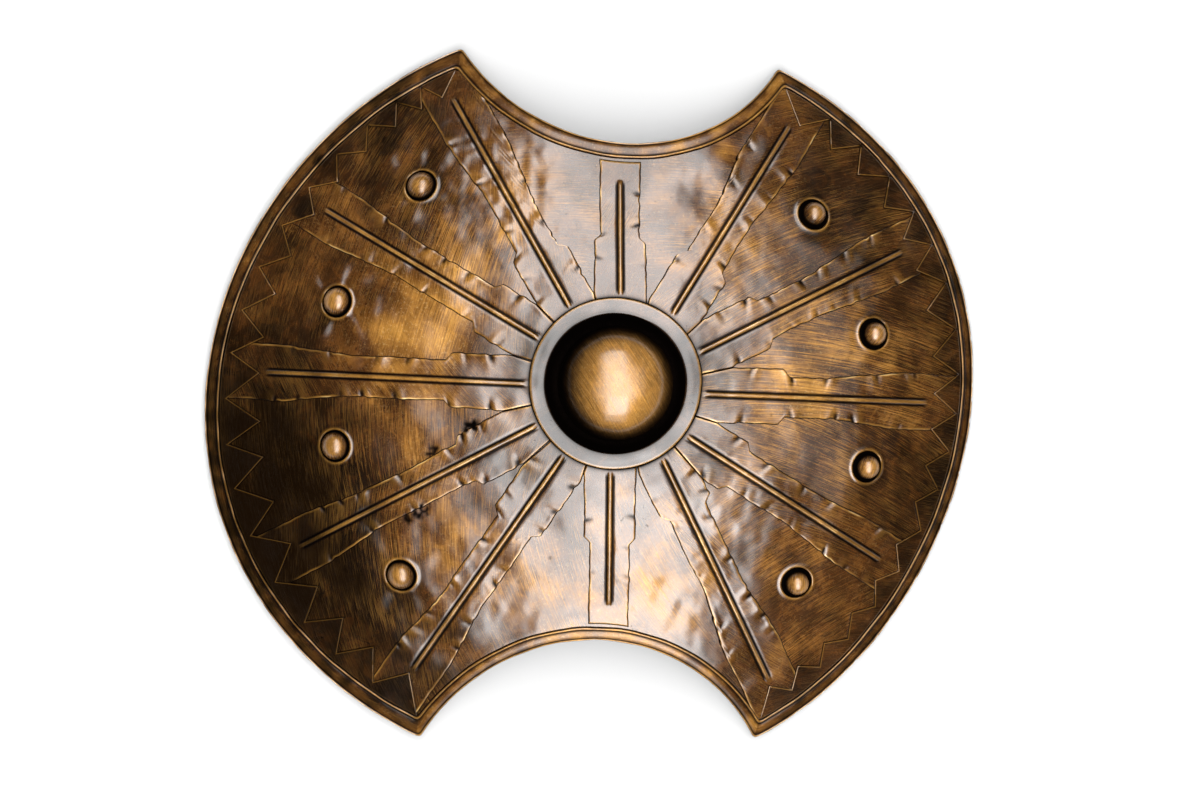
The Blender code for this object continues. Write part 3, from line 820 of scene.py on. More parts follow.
    def stud_seats(self, form: BeatenForm) -> list[tuple[Vector, float, float]]:
        """Each stud's plan place, its bearing in degrees, and how much the slope lengthens it there."""
        seats = []
        for inset, degrees in self.studs.values():
            spot = form.on_oval(degrees, inset)
            slope = 2 * form.rise * spot.length / float(form.radius_at(math.radians(degrees))) ** 2
            seats.append((spot, math.degrees(math.atan2(spot.y, spot.x)), math.hypot(1.0, slope)))
        return seats

    def stud_distance(self, form: BeatenForm, x: Array, y: Array) -> Array:
        """Distance of plan places to the nearest stud, measured on the dish's slope."""
        nearest = np.full_like(x, 1.0)
        for spot, bearing, stretch in self.stud_seats(form):
            along, across = rotated(x - spot.x, y - spot.y, bearing)
            nearest = np.minimum(nearest, np.hypot(along * stretch, across))
        return nearest


@dataclass(frozen=True)
class Creases:
    """Folds that run out from a stud where the sheet was drawn in round it."""

    form: BeatenForm
    layout: Layout
    reach: float = 0.031
    width: float = 0.011
    few: int = 7
    many: int = 11
    many_share: float = 0.5
    shifts: Plan = (1.3, 2.1)
    curl: float = 60.0

    def at(self, x: Array, y: Array) -> Array:
        """Height of the folds at plan places.

        Args:
            x: Places along X.
            y: Places along Y.

        Returns:
            The height at each place.
        """
        total = np.zeros_like(x)
        for number, (name, depth) in enumerate(self.layout.creases.items()):
            inset, degrees = self.layout.studs[name]
            spot = self.form.on_oval(degrees, inset)
            away = np.hypot(x - spot.x, y - spot.y)
            bearing = np.arctan2(y - spot.y, x - spot.x)
            curled = self.many * bearing + self.shifts[1] * number + self.curl * away
            folds = np.cos(self.few * bearing + self.shifts[0] * number) + self.many_share * np.cos(curled)
            total += depth * folds * bump_at(away, self.reach, self.width)
        return total


def stroke_places(x: Array, y: Array, grain: Array | float, lift: float) -> Array:
    """Places along and across the brush's direction, with a third number that sets strokes apart.

    Args:
        x: Places along X.
        y: Places along Y.
        grain: The brush's direction in degrees.
        lift: The third number.

    Returns:
        The three numbers at each place.
    """
    turn = np.radians(grain)
    along = x * np.cos(turn) + y * np.sin(turn)
    across = y * np.cos(turn) - x * np.sin(turn)
    return np.stack([along, across + STROKE_BOW * along * along, lift + turn + 0 * along], axis=-1)


@dataclass
class Shell:
    """The dished sheet under everything, with a hole for the boss and one for each stud."""

    form: BeatenForm
    layout: Layout
    sheet: float = 0.0012
    edge_inset: float = 0.00175
    collar_hole: float = 0.0691
    spacing: float = 0.0034
    clear: float = 0.0022
    hole_sides: int = 48
    lip_rings: Row = (0.0156, 0.0160, 0.0166, 0.0173, 0.0181, 0.0194, 0.0212, 0.0235)
    lip_heights: Row = (-0.15, 0.55, 1.0, 0.95, 0.55, 0.12, -0.06, 0.0)
    lip_shines: Row = (0.15, 0.60, 0.75, 0.50, 0.20, 0.0, 0.0, 0.0)
    lip_height: float = 0.0011
    lip_ripples: Ripples = Ripples(25, 0.021)
    lip_mottle: Plan = (0.80, 0.30)
    lip_dirt: float = 0.22
    lip_dirt_ring: Plan = (0.0205, 0.0022)
    collar_edge: Plan = (0.083, 0.002)
    inside_gild: float = -0.6

    def _stud_rings(self) -> list[list[Array]]:
        """For each stud, the loops around its hole from the hole outwards."""
        turns = around(self.hole_sides)
        found = []
        for spot, bearing, stretch in self.layout.stud_seats(self.form):
            rings = []
            for radius in self.lip_rings:
                x, y = rotated(radius * np.cos(turns) * (1 / stretch), radius * np.sin(turns), -bearing)
                rings.append(np.stack([spot.x + x, spot.y + y], axis=1))
            found.append(rings)
        return found

    def _lattice(self, edge: Array) -> Array:
        """Loose plan points inside the edge and clear of the holes."""
        reach = self.form.radius * 1.15
        apart = math.sqrt(0.75)
        rows = math.ceil(reach / (self.spacing * apart))
        spots = []
        for row in range(-rows, rows + 1):
            x = np.arange(-reach, reach, self.spacing) + self.spacing * 0.5 * (row % 2)
            spots.append(np.stack([x, np.full_like(x, row * self.spacing * apart)], axis=1))
        spots = np.concatenate(spots)
        x, y = spots[:, 0], spots[:, 1]
        keep = (np.hypot(x, y) > self.collar_hole + self.clear) & within(x, y, edge)
        keep &= self.layout.stud_distance(self.form, x, y) > self.lip_rings[-1] + self.clear
        keep &= self.form.inset(x, y) > self.edge_inset + self.clear
        return spots[keep]

    def _dress(self, x: Array, y: Array, distance: Array) -> Coat:
        """What the shell's face and then its inside carry.

        Args:
            x: Places of the points along X.
            y: Places of the points along Y.
            distance: Their distances to the nearest stud.

        Returns:
            The coat.
        """
        count = len(x)
        coat = Coat.for_sheet(self.form, x, y, stroke_places(x, y, self.layout.panel_grain(x, y), 0.0))
        mottle = self.lip_mottle[0] + self.lip_mottle[1] * self.lip_ripples.at(x, y)
        coat.wear[:count] = np.interp(distance, self.lip_rings, self.lip_shines) * mottle.clip(0.2, 1.25)
        edge, reach = self.collar_edge
        darkening = self.lip_dirt * bump_at(distance, *self.lip_dirt_ring)
        darkening = np.maximum(darkening, np.exp(-(np.hypot(x, y) - edge).clip(0) / reach))
        coat.grime[:count] = np.maximum(darkening, self.form.staining(x, y))
        coat.gild[count:] = self.inside_gild
        return coat

    def build(self, bench: Bench, finish: Material) -> Object:
        """Builds the shell and dresses it.

        Args:
            bench: Where it is placed.
            finish: Its material.

        Returns:
            The piece.
        """
        edge = self.form.inset_loop(self.edge_inset, 0.0, 0.004)
        turns = around(2 * self.hole_sides)
        mouth = self.collar_hole * np.stack([np.cos(turns), np.sin(turns)], axis=1)
        rings = self._stud_rings()
        loops = [edge, mouth] + [ring for stud in rings for ring in stud]
        spots, cells, numbers = plan_cells(loops, self._lattice(edge))
        middles = np.array([spots[cell].mean(0) for cell in cells])
        keep = within(middles[:, 0], middles[:, 1], edge) & ~within(middles[:, 0], middles[:, 1], mouth)
        for stud in rings:
            keep &= ~within(middles[:, 0], middles[:, 1], stud[0])
        spots, cells, _ = used_only(spots, [cell for cell, kept in zip(cells, keep) if kept], numbers)
        x, y = spots[:, 0], spots[:, 1]
        distance = self.layout.stud_distance(self.form, x, y)
        raised = self.lip_height * np.interp(distance, self.lip_rings, self.lip_heights)
        face = self.form.face(x, y) + Creases(self.form, self.layout).at(x, y)
        shape = plate_shape(spots, cells, face - self.sheet, face + raised)
        coat = self._dress(x, y, distance)
        return bench.piece("beaten_shell", shape, coat, finish, "shell")


@dataclass
class Rim:
    """The strip folded over the shell's edge, with a bead along each side of it.

    The section's points give depth, share of the width, height over the face in millimetres, wear
    and grime. Those at no height are on the ground.
    """

    form: BeatenForm
    spacing: float = 0.002
    nick_depth: float = 0.0012
    nick_width: float = 0.0017
    nick_gaps: Plan = (0.014, 0.034)
    nick_sizes: Plan = (0.5, 1.0)
    nick_spreads: Plan = (0.7, 1.5)
    nick_dirt: float = 0.9
    few_nicks: float = 0.25
    nick_free: int = 15
    seed: int = 31
    wobble: float = 0.00035
    wobble_ripples: Ripples = Ripples(33, 0.05)
    rounding: int = 5
    mean_width: float = 0.015
    outer_reach: float = 0.0022
    inner_reach: float = 0.004
    notch_gild: float = 0.30
    mottle: float = 0.10
    mottle_ripples: Ripples = Ripples(34, 0.022)
    brush: float = 0.35
    stroke_lift: float = 3.0
    section: tuple[Row, ...] = (
        (0.0004, 0.0, 0.0, 0.0, 0.8),
        (0.0004, 0.0, 1.1, 0.0, 0.9),
        (0.0007, 0.0, 2.2, 0.5, 0.3),
        (0.0012, 0.0, 2.75, 1.0, 0.0),
        (0.0019, 0.0, 2.35, 0.4, 0.2),
        (0.0026, 0.0, 1.5, 0.0, 1.0),
        (0.0035, 0.0, 1.7, 0.0, 0.45),
        (0.0050, 0.0, 1.95, 0.05, 0.1),
        (0.0000, 0.5, 2.05, 0.05, 0.0),
        (-0.0050, 1.0, 1.9, 0.0, 0.1),
        (-0.0037, 1.0, 1.65, 0.0, 0.6),
        (-0.0030, 1.0, 1.35, 0.0, 1.0),
        (-0.0022, 1.0, 1.95, 0.2, 0.6),
        (-0.0014, 1.0, 2.5, 0.85, 0.0),
        (-0.0007, 1.0, 2.2, 0.55, 0.2),
        (-0.0001, 1.0, 1.4, 0.2, 0.7),
        (0.0001, 1.0, 0.42, 0.0, 1.0),
        (0.0009, 1.0, 0.36, 0.0, 1.0),
        (0.0009, 1.0, 0.18, 0.0, 1.0),
        (0.0014, 0.0, 0.18, 0.0, 0.5),
        (0.0014, 0.0, -1.8, 0.0, 0.5),
        (0.0110, 0.0, -1.8, 0.0, 0.2),
        (0.0110, 0.0, -3.2, 0.0, 0.2),
        (0.0054, 0.0, -3.2, 0.0, 0.2),
        (0.0040, 0.0, 0.0, 0.0, 0.2),
    )

    def _nicks(self, count: int, right: tuple[int, int]) -> Array:
        """How far the outer edge is nicked in at each station.

        Args:
            count: How many stations there are.
            right: First and last station of the right side, which is nicked most.

        Returns:
            The depths.
        """
        chance = np.random.default_rng(self.seed)
        place = np.arange(count) * self.spacing
        depth = np.zeros(count)
        walked = 0.0
        while walked < count * self.spacing:
            station = int(walked / self.spacing)
            inside = right[0] + self.nick_free < station < right[1] - self.nick_free
            size = self.nick_depth * chance.uniform(*self.nick_sizes) * (1.0 if inside else self.few_nicks)
            depth += size * bump_at(place, walked, self.nick_width * chance.uniform(*self.nick_spreads))
            walked += chance.uniform(*self.nick_gaps)
        return depth

    def build(self, bench: Bench, finish: Material) -> Object:
        """Builds the rim and dresses it.

        Args:
            bench: Where it is placed.
            finish: Its material.

        Returns:
            The piece.
        """
        counts = [round(run_length(run) / self.spacing) for run in self.form.sides.values()]
        starts = np.cumsum([0, *counts])
        edge = self.form.inset_loop(0.0, 0.0, self.spacing, self.rounding)
        inward = edge.mean(0) - edge
        inward /= np.linalg.norm(inward, axis=1, keepdims=True)
        nicks = self._nicks(len(edge), (starts[2], starts[3]))
        sway = self.wobble * (1 + self.wobble_ripples.at(edge[:, 0], edge[:, 1]).clip(-1, 1))
        loops, wear, grime = [], [], []
        for depth, share, height, shine, darkening in self.section:
            loop = self.form.inset_loop(depth, share, self.spacing, self.rounding)
            outer = math.exp(-max(depth + share * self.mean_width, 0.0) / self.outer_reach)
            inner = math.exp(-abs(depth) / self.inner_reach) if share == 1.0 else 0.0
            if height > 0:
                loop = loop + inward * (outer * (nicks + sway) - inner * (sway - self.wobble))[:, None]
            x, y = loop[:, 0], loop[:, 1]
            if height == 0:
                z = np.maximum(self.form.dish(edge[:, 0], edge[:, 1]) - self.form.foot, 0.0)
            else:
                z = self.form.face(x, y) + height * MM
            loops.append(np.stack([x, y, z], axis=1))
            wear.append(np.full(len(x), shine))
            grime.append(np.clip(darkening + outer * nicks / self.nick_depth * self.nick_dirt, 0, 1))
        shape = swept_shape(np.array(loops))
        coat = Coat.plain(len(loops) * len(edge), self.brush)
        coat.wear[:] = np.concatenate(wear)
        coat.grime[:] = np.concatenate(grime)
        x, y, _ = np.concatenate(loops).T
        notched = np.zeros(len(edge))
        notched[starts[1]:starts[2]] = self.notch_gild
        notched[starts[3]:] = self.notch_gild
        mottled = self.mottle * self.mottle_ripples.at(x, y)
        coat.gild[:] = self.form.gilding_and_shading(x, y) + mottled + np.tile(notched, len(loops))
        runs = np.tile(np.arange(len(edge)) * self.spacing, len(loops))
        depths = [depth + share * self.mean_width for depth, share, *_ in self.section]
        across = np.repeat(depths, len(edge))
        coat.stroke[:] = np.stack([runs, across, np.full(len(runs), self.stroke_lift)], axis=1)
        return bench.piece("folded_rim", shape, coat, finish, "rim", 62)


@dataclass(frozen=True)
class Dent:
    """A dent beside a strap's edge: a small pit with a bulge next to it."""

    along: float
    side: int
    pit: float
    bulge: float
    lean: float


@dataclass
class Strap:
    """One ribbed strap, from under the collar to under the border."""

    form: BeatenForm
    layout: Layout
    name: str
    seed: int
    sheet: float = 0.00115
    lift: float = 0.00035
    row: float = 0.0014
    rib_start: float = 0.0832
    rib_taper: float = 0.007
    rib_gap: float = 0.004
    short_rib_gap: float = 0.021
    tuck: float = 0.0716
    end_gap: float = 0.0018
    short_end_gap: float = 0.0035
    closing_length: float = 0.0009
    mitre_gap: float = 0.0009
    seam_lift: float = 0.00012
    dent_start: Plan = (0.104, 0.03)
    dent_gaps: Plan = (0.018, 0.056)
    pits: Plan = (0.35, 1.0)
    bulges: Plan = (0.4, 1.0)
    leans: Plan = (0.0048, 0.0068)
    pit_depth: float = 0.00105
    bulge_height: float = 0.00095
    cut_in: Plan = (0.0009, 0.0026)
    push_out: Plan = (0.0007, 0.0045)
    sway: Plan = (0.00042, 0.085)
    ripple: Plan = (0.00016, 0.012)
    crimp: Plan = (0.00007, 0.00011)
    roll: float = 0.00013
    collar_edge: Plan = (0.0829, 0.0016)
    extra_gild: float = 0.06
    rib_stops: Row = (0.0, 0.0012, 0.0021, 0.0030, 0.0039, 0.0052)
    rib_heights: Row = (1.9, 1.7, 0.15, -0.60, -0.42, 0.0)
    rib_wear: Row = (0.64, 0.95, 0.15, 0.0, 0.0, 0.0)
    rib_grime: Row = (0.0, 0.0, 0.75, 1.0, 0.85, 0.0)
    edge_stops: Row = (-0.0006, 0.0, 0.00015, 0.0006, 0.0013, 0.0024, 0.0040, 0.0060, 0.0085)
    edge_heights: Row = (0.0, 0.0, 0.75, 1.0, 1.0, 1.0, 1.0, 1.0, 1.0)
    edge_shines: Row = (0.0, 0.0, 0.75, 1.0, 0.5, 0.0, 0.0, 0.0, 0.0)
    edge_dirt: Row = (1.0, 1.0, 0.35, 0.0, 0.0, 0.0, 0.0, 0.0, 0.0)
    fill: int = 4

    def __post_init__(self) -> None:
        """Works out the strap's widths and its dents."""
        self.plan = self.layout.straps[self.name]
        self.spans, self.halves = self.layout.widths(self.form, self.name)
        self.is_short = self.name in self.layout.short
        self.inner_edge = self.form.inset_loop(0.0, 1.0, 0.004)
        self.rib_end = self._rib_end()
        self.dents = self._dents()

    def _reach(self, across: float) -> float:
        """How far the strap's line at a side offset runs before it meets the rim.

        Args:
            across: The side offset.

        Returns:
            The distance from the boss.
        """
        x, y = self.inner_edge[:, 0], self.inner_edge[:, 1]
        along, beside = rotated(x, y, self.plan.turn)
        beside = beside - across
        after = np.roll(beside, -1)
        crossed = (beside * after <= 0) & (along > 0)
        share = beside / np.where(beside == after, 1.0, beside - after)
        met = along + (np.roll(along, -1) - along) * share
        return float(met[crossed].min())

    def _rib_end(self) -> float:
        """Where the rib stops, short of the border or the rim."""
        end = self._reach(self.plan.offset)
        if self.is_short:
            return end - self.short_rib_gap
        if abs(self.plan.turn) < 90:
            return end - read_stops(self.plan.turn, self.layout.tip_depths[Side.RIGHT]) - self.rib_gap
        return end - read_stops(self.plan.turn % 360, self.layout.tip_depths[Side.LEFT]) - self.rib_gap

    def _dents(self) -> list[Dent]:
        """The dents along both edges, at seeded places."""
        chance = np.random.default_rng(self.seed)
        found = []
        for side in (-1, 1):
            along = self.dent_start[0] + chance.uniform(0, self.dent_start[1])
            while along < self.rib_end - 0.006:
                pit, bulge = chance.uniform(*self.pits), chance.uniform(*self.bulges)
                lean = chance.choice((-1, 1)) * chance.uniform(*self.leans)
                found.append(Dent(along, side, pit, bulge, lean))
                along += chance.uniform(*self.dent_gaps)
        return found

    def _waver(self, number: int, length: float, count: int = 9) -> Ripples:
        """One of the strap's own fields of waves."""
        return Ripples(self.seed + number, length, count)

    def _limit(self, along: Array, side: int) -> Array:
        """The strap's edge on one side: its own width, or the mitre with the strap beside it.

        Args:
            along: Distances from the boss along the strap.
            side: 1 for its left edge, -1 for its right one.

        Returns:
            The edge's side offset at each distance.
        """
        names = list(self.layout.straps)
        beside = self.layout.straps[names[(names.index(self.name) + side) % len(names)]]
        turned = math.radians(((beside.turn - self.plan.turn + 180) % 360) - 180)
        step = math.copysign(1.0, turned)
        normal_along = -math.sin(turned) * step
        normal_across = (1 + math.cos(turned)) * step
        line = (self.plan.offset + beside.offset) * step - self.mitre_gap
        mitre = (line - normal_along * along) / normal_across
        sway = self.sway[0] * self._waver(7 * side, self.sway[1]).at(along, along * 0)
        sway += self.ripple[0] * self._waver(9 * side, self.ripple[1]).at(along, along * 0)
        for dent in self.dents:
            if dent.side == side:
                swell = dent.along + dent.lean
                sway -= self.cut_in[0] * dent.pit * bump_at(along, dent.along, self.cut_in[1])
                sway += self.push_out[0] * dent.bulge * bump_at(along, swell, self.push_out[1])
        own = self.plan.offset + side * (np.interp(along, self.spans, self.halves) + sway)
        return np.minimum(own, mitre) if side > 0 else np.maximum(own, mitre)

    def _relief(self, along: Array, beside: Array, inset: Array, side: Array) -> tuple:
        """Height of the rib and the dents over the strap's face, with their wear and grime, and the painted
        shade in each pit and the painted highlight on each bulge.

        Args:
            along: Distances from the boss along the strap.
            beside: Distances beside the rib's line.
            inset: Distances in from the strap's edge.
            side: 1 on the left half, -1 on the right half.

        Returns:
            The height, the wear with the painted highlights, and the grime with the painted shade.
        """
        ends = smooth(np.minimum(along - self.rib_start, self.rib_end - along) / self.rib_taper)
        height = ends * np.interp(beside, self.rib_stops, self.rib_heights) * MM
        rubbed = 0.84 + 0.24 * self._waver(11, 0.040).at(along, along * 0)
        rubbed = rubbed * np.interp(self.rib_end - along, (0.01, 0.08), (0.55, 1.0))
        wear = ends * rubbed.clip(0.15, 1.0) * np.interp(beside, self.rib_stops, self.rib_wear)
        grime = ends * np.interp(beside, self.rib_stops, self.rib_grime)
        near_rib = smooth((beside - self.rib_stops[-1]) / 0.003)
        crimp = self._waver(3, 0.030, 11).at(along + 0.35 * side * beside, side * 0.3)
        at_edge = bump_at(inset, 0.0, self.edge_stops[-1])
        height = height + near_rib * (self.crimp[0] + self.crimp[1] * at_edge) * crimp
        roll = 1 + 0.8 * self._waver(5, 0.045).at(along, side * 0.5)
        height = height + self.roll * roll * bump_at(inset, 0.0022, 0.0013) * near_rib
        for dent in self.dents:
            here = np.where(side == dent.side, near_rib, 0.0)
            lean = along + 0.25 * inset * math.copysign(1.0, dent.lean)
            pit = here * dent.pit * bump_at(lean, dent.along, 0.0024) * bump_at(inset, 0.0020, 0.0048)
            swell = bump_at(lean, dent.along + dent.lean, 0.0040) * bump_at(inset, 0.0026, 0.0080)
            swell = here * dent.bulge * swell
            height = height - self.pit_depth * pit + self.bulge_height * swell
            # Painted shade darkens each pit and a painted highlight lightens each bulge.
            grime = np.maximum(grime, np.clip(1.5 * pit - 0.25, 0, 0.95))
            wear = np.maximum(wear, 0.25 * swell)
        return height, wear, grime

    def _grid(self) -> tuple[Array, Array, Array, Array]:
        """The grid of the strap: distance along, side offset, inset from the edge, and side."""
        rib = self.plan.offset
        rows = np.arange(self.rib_start - 0.015, self._reach(rib) + 0.004, self.row)
        stations = []
        for side in (-1, 1):
            half = np.abs(self._limit(rows, side) - rib)
            tight = np.minimum(1.0, (half - self.rib_stops[-1] - 0.002) / self.edge_stops[-1])
            inner = [np.full_like(rows, stop) for stop in self.rib_stops]
            outer = [half - stop * (tight if stop > 0 else 1.0) for stop in reversed(self.edge_stops)]
            for k in range(1, self.fill + 1):
                inner.append(self.rib_stops[-1] + (outer[0] - self.rib_stops[-1]) * k / (self.fill + 1))
            stations.append((inner + outer, half, side))
        lines, insets, sides = [], [], []
        for offsets, half, side in stations:
            order = reversed(offsets) if side < 0 else offsets[1:]
            for offset in order:
                lines.append(rib + side * offset)
                insets.append(half - offset)
                sides.append(np.full_like(rows, side))
        across, inset, side = (np.stack(values, axis=1) for values in (lines, insets, sides))
        share = (rows - rows[0]) / (rows[-1] - rows[0])
        gap = self.short_end_gap if self.is_short else self.end_gap
        along = np.empty_like(across)
        for c in range(across.shape[1]):
            middle = float(across[-1, c])
            start = math.sqrt(max(self.tuck**2 - across[0, c] ** 2, 0.0))
            along[:, c] = start + (self._reach(middle) - gap - start) * share
        return along, across, inset, side

    def build(self, bench: Bench, finish: Material) -> Object:
        """Builds the strap and dresses it.

        Args:
            bench: Where it is placed.
            finish: Its material.

        Returns:
            The piece.
        """
        along, across, inset, side = self._grid()
        beside = np.abs(across - self.plan.offset)
        x, y = rotated(along, across, -self.plan.turn)
        height, wear, grime = self._relief(along, beside, inset, side)
        top = self.lift + self.sheet
        foot = self.lift + self.seam_lift
        seam = np.interp(inset, self.edge_stops, self.edge_heights)
        end_in = along.max(axis=0, keepdims=True) - along
        closing = np.clip(end_in / self.closing_length, 0.0, 1.0) if self.is_short else 1.0
        level = np.maximum(foot + (top + height - foot) * seam * closing, foot)
        face = self.form.face(x, y)
        rows = np.stack([x, y, face + level], axis=-1)
        under = np.stack([x, y, face + self.lift], axis=-1)
        shape = lattice_shape(rows, under)
        count = x.size
        coat = Coat.for_sheet(self.form, x, y, stroke_places(x, y, self.plan.grain, 5.0 + self.seed))
        coat.gild += self.extra_gild
        edge_wear = np.interp(inset, self.edge_stops, self.edge_shines)
        edge_wear *= 0.60 + 0.40 * self._waver(8, 0.030).at(along, side * 0.4)
        edge_grime = np.interp(inset, self.edge_stops, self.edge_dirt)
        from_collar = (np.hypot(x, y) - self.collar_edge[0]).clip(0)
        edge_grime = np.maximum(edge_grime, np.exp(-from_collar / self.collar_edge[1]))
        if self.is_short:
            edge_wear = np.maximum(edge_wear, bump_at(end_in, 0.0012, 0.0010))
            edge_grime = np.maximum(edge_grime, np.exp(-end_in / 0.0006))
        coat.wear[:count] = np.maximum(wear, edge_wear * (1 - grime)).ravel()
        edge_grime = np.maximum(edge_grime, self.form.staining(x, y))
        coat.grime[:count] = np.maximum(grime, edge_grime).ravel()
        return bench.piece(self.name + "_ribbed", shape, coat, finish, self.name, 70)


@dataclass
class Border:
    """One saw-cut border inside the rim, pressed over the straps' outer ends."""

    form: BeatenForm
    layout: Layout
    side: Side
    top: float = 0.00230
    lift: float = 0.00030
    over: float = 0.00165
    rim_gap: float = 0.0012
    bevels: Row = (-0.0005, 0.0, 0.00018, 0.0006, 0.0014)
    spacing: float = 0.0035
    rim_step: float = 0.004
    clear: float = 0.0012
    grains: dict[Side, float] = field(default_factory=lambda: {Side.LEFT: 75.0, Side.RIGHT: 20.0})
    extra_gild: float = -0.12
    brush_share: float = 0.7

    def _teeth(self, depth: float) -> Array:
        """The cut edge from tip to tip, moved towards the rim by a depth."""
        tips = self.layout.tooth_tips[self.side]
        line = []
        for i, tip in enumerate(tips):
            spots = [(tip, self.layout.tip_depths[self.side])]
            if i + 1 < len(tips):
                spots.append(((tip + tips[i + 1]) / 2, self.layout.root_strips[self.side]))
            for angle, stops in spots:
                share = (angle - tips[0]) / (tips[-1] - tips[0])
                inset = self.form.rim_width(self.side, share) + read_stops(angle, stops)
                line.append(self.form.on_oval(angle, inset - depth))
        return np.array(line)

    def _outlines(self) -> list[Array]:
        """The border's outline at each bevel, the cut edge stepped finely."""
        run = self.form.inset_runs(self.rim_gap, 1.0)[self.side]
        outer = np.array([*evenly(run, round(run_length(run) / self.rim_step)), run[-1]])
        teeth = self._teeth(0.0)[::-1]
        outline = np.concatenate([outer, teeth])
        found = []
        for depth in self.bevels:
            moved = moved_outline(outline, depth)
            moved[: len(outer)] = moved_outline(outline, max(depth, 0.0))[: len(outer)]
            found.append(self._stepped(moved))
        return found

    def _stepped(self, outline: Array) -> Array:
        """The closed outline with points added so that no edge is longer than the spacing."""
        full = []
        for a, b in zip(outline, np.roll(outline, -1, 0)):
            count = max(1, math.ceil(np.linalg.norm(b - a) / self.spacing))
            full += [a + (b - a) * i / count for i in range(count)]
        return np.array(full)

    def build(self, bench: Bench, finish: Material) -> Object:
        """Builds the border and dresses it.

        Args:
            bench: Where it is placed.
            finish: Its material.

        Returns:
            The piece.
        """
        loops = self._outlines()
        low, high = loops[0].min(0), loops[0].max(0)
        grid = np.stack(np.meshgrid(*(np.arange(a, b, self.spacing) for a, b in zip(low, high))), axis=-1)
        loose = grid.reshape(-1, 2)
        loose = loose[within(loose[:, 0], loose[:, 1], loops[-1])]
        near = np.min(np.linalg.norm(loose[:, None] - loops[-1][None, ::2], axis=2), axis=1)
        loose = loose[near > self.clear]
        spots, cells, numbers = plan_cells(loops, loose)
        middles = np.array([spots[cell].mean(0) for cell in cells])
        keep = within(middles[:, 0], middles[:, 1], loops[0])
        spots, cells, numbers = used_only(spots, [cell for cell, kept in zip(cells, keep) if kept], numbers)
        x, y = spots[:, 0], spots[:, 1]
        face = self.form.face(x, y)
        under = self.lift + (self.over - self.lift) * self.layout.over_strap(self.form, x, y, 0.003)
        steps = ((0.10, 0.0, 1.0), (0.10, 0.0, 1.0), (0.72, 0.30, 0.4), (1.0, 0.55, 0.0), (1.0, 0.0, 0.0))
        shares, wear, grime = np.array([steps[number] for number in numbers]).T
        shape = plate_shape(spots, cells, face + under, face + under + (self.top - under) * shares)
        coat = Coat.for_sheet(self.form, x, y, stroke_places(x, y, self.grains[self.side], 9.0))
        rim_side = self.form.inset(x, y) < self.form.rim_widths[self.side][1] + 0.004
        coat.wear[:x.size] = wear * np.where(rim_side, 0.2, 1.0)
        coat.grime[:x.size] = grime
        coat.gild += self.extra_gild
        coat.brush *= self.brush_share
        node = "teeth_" + self.side.value
        return bench.piece(node + "_cut", shape, coat, finish, node, 60)


@dataclass
class Collar:
    """The flat ring over the straps' inner ends.

    The section's points give radius, height over the face in millimetres, wear, and grime with the painted
    shade of the inner edge.
    """

    form: BeatenForm
    sides: int = 180
    sway: float = 0.00030
    sway_ripples: Ripples = Ripples(41, 1.3, 7)
    calm_radius: float = 0.075
    gild: float = -0.25
    grain: float = 25.0
    section: tuple[Row, ...] = (
        (0.0684, -1.2, 0.0, 1.0),
        (0.0670, -1.2, 0.0, 1.0),
        # Painted shade: the grime darkens the inner edge where it turns down into the boss's sunk ring.
        (0.0669, 0.6, 0.0, 0.9),
        (0.0672, 1.7, 0.0, 0.5),
        (0.0678, 2.35, 0.0, 0.55),
        (0.0690, 2.75, 0.0, 0.30),
        (0.0710, 2.92, 0.0, 0.08),
        (0.0755, 2.80, 0.0, 0.0),
        (0.0795, 2.86, 0.0, 0.0),
        (0.0808, 2.90, 0.5, 0.0),
        (0.0816, 2.70, 1.0, 0.0),
        (0.0820, 2.20, 0.7, 0.2),
        (0.0822, 1.80, 0.0, 1.0),
        (0.0830, 1.74, 0.0, 1.0),
        (0.0830, 1.62, 0.0, 1.0),
        (0.0684, 1.62, 0.0, 1.0),
    )

    def build(self, bench: Bench, finish: Material) -> Object:
        """Builds the collar and dresses it.

        Args:
            bench: Where it is placed.
            finish: Its material.

        Returns:
            The piece.
        """
        turns = around(self.sides)
        sway = self.sway * self.sway_ripples.at(turns, 0 * turns)
        loops = []
        for radius, height, _, _ in self.section:
            reach = radius + (sway if radius > self.calm_radius else 0.4 * sway)
            x, y = reach * np.cos(turns), reach * np.sin(turns)
            loops.append(np.stack([x, y, self.form.face(x, y) + height * MM], axis=1))
        shape = swept_shape(np.array(loops))
        x, y, _ = np.concatenate(loops).T
        coat = Coat.plain(x.size)
        coat.wear[:] = np.repeat([wear for _, _, wear, _ in self.section], self.sides)
        coat.grime[:] = np.repeat([grime for _, _, _, grime in self.section], self.sides)
        coat.gild[:] = self.gild
        coat.stroke[:] = stroke_places(x, y, self.grain, 12.0)
        return bench.piece("boss_collar", shape, coat, finish, "collar", 60)


def offset_profile(profile: list[Plan], thickness: float) -> list[Plan]:
    """A turned profile moved in by a sheet's thickness, from its outer end to its axis end.

    Args:
        profile: Radius and height of each point, from the outer end to the axis.
        thickness: How far it moves.

    Returns:
        The moved profile.
    """
    moved = []
    for i, (radius, height) in enumerate(profile):
        before, after = profile[max(i - 1, 0)], profile[min(i + 1, len(profile) - 1)]
        run = math.hypot(after[0] - before[0], after[1] - before[1])
        out = ((after[1] - before[1]) / run, -(after[0] - before[0]) / run)
        moved.append((max(radius - out[0] * thickness, 0.0), height - out[1] * thickness))
    moved[-1] = (0.0, profile[-1][1] - thickness)
    return moved


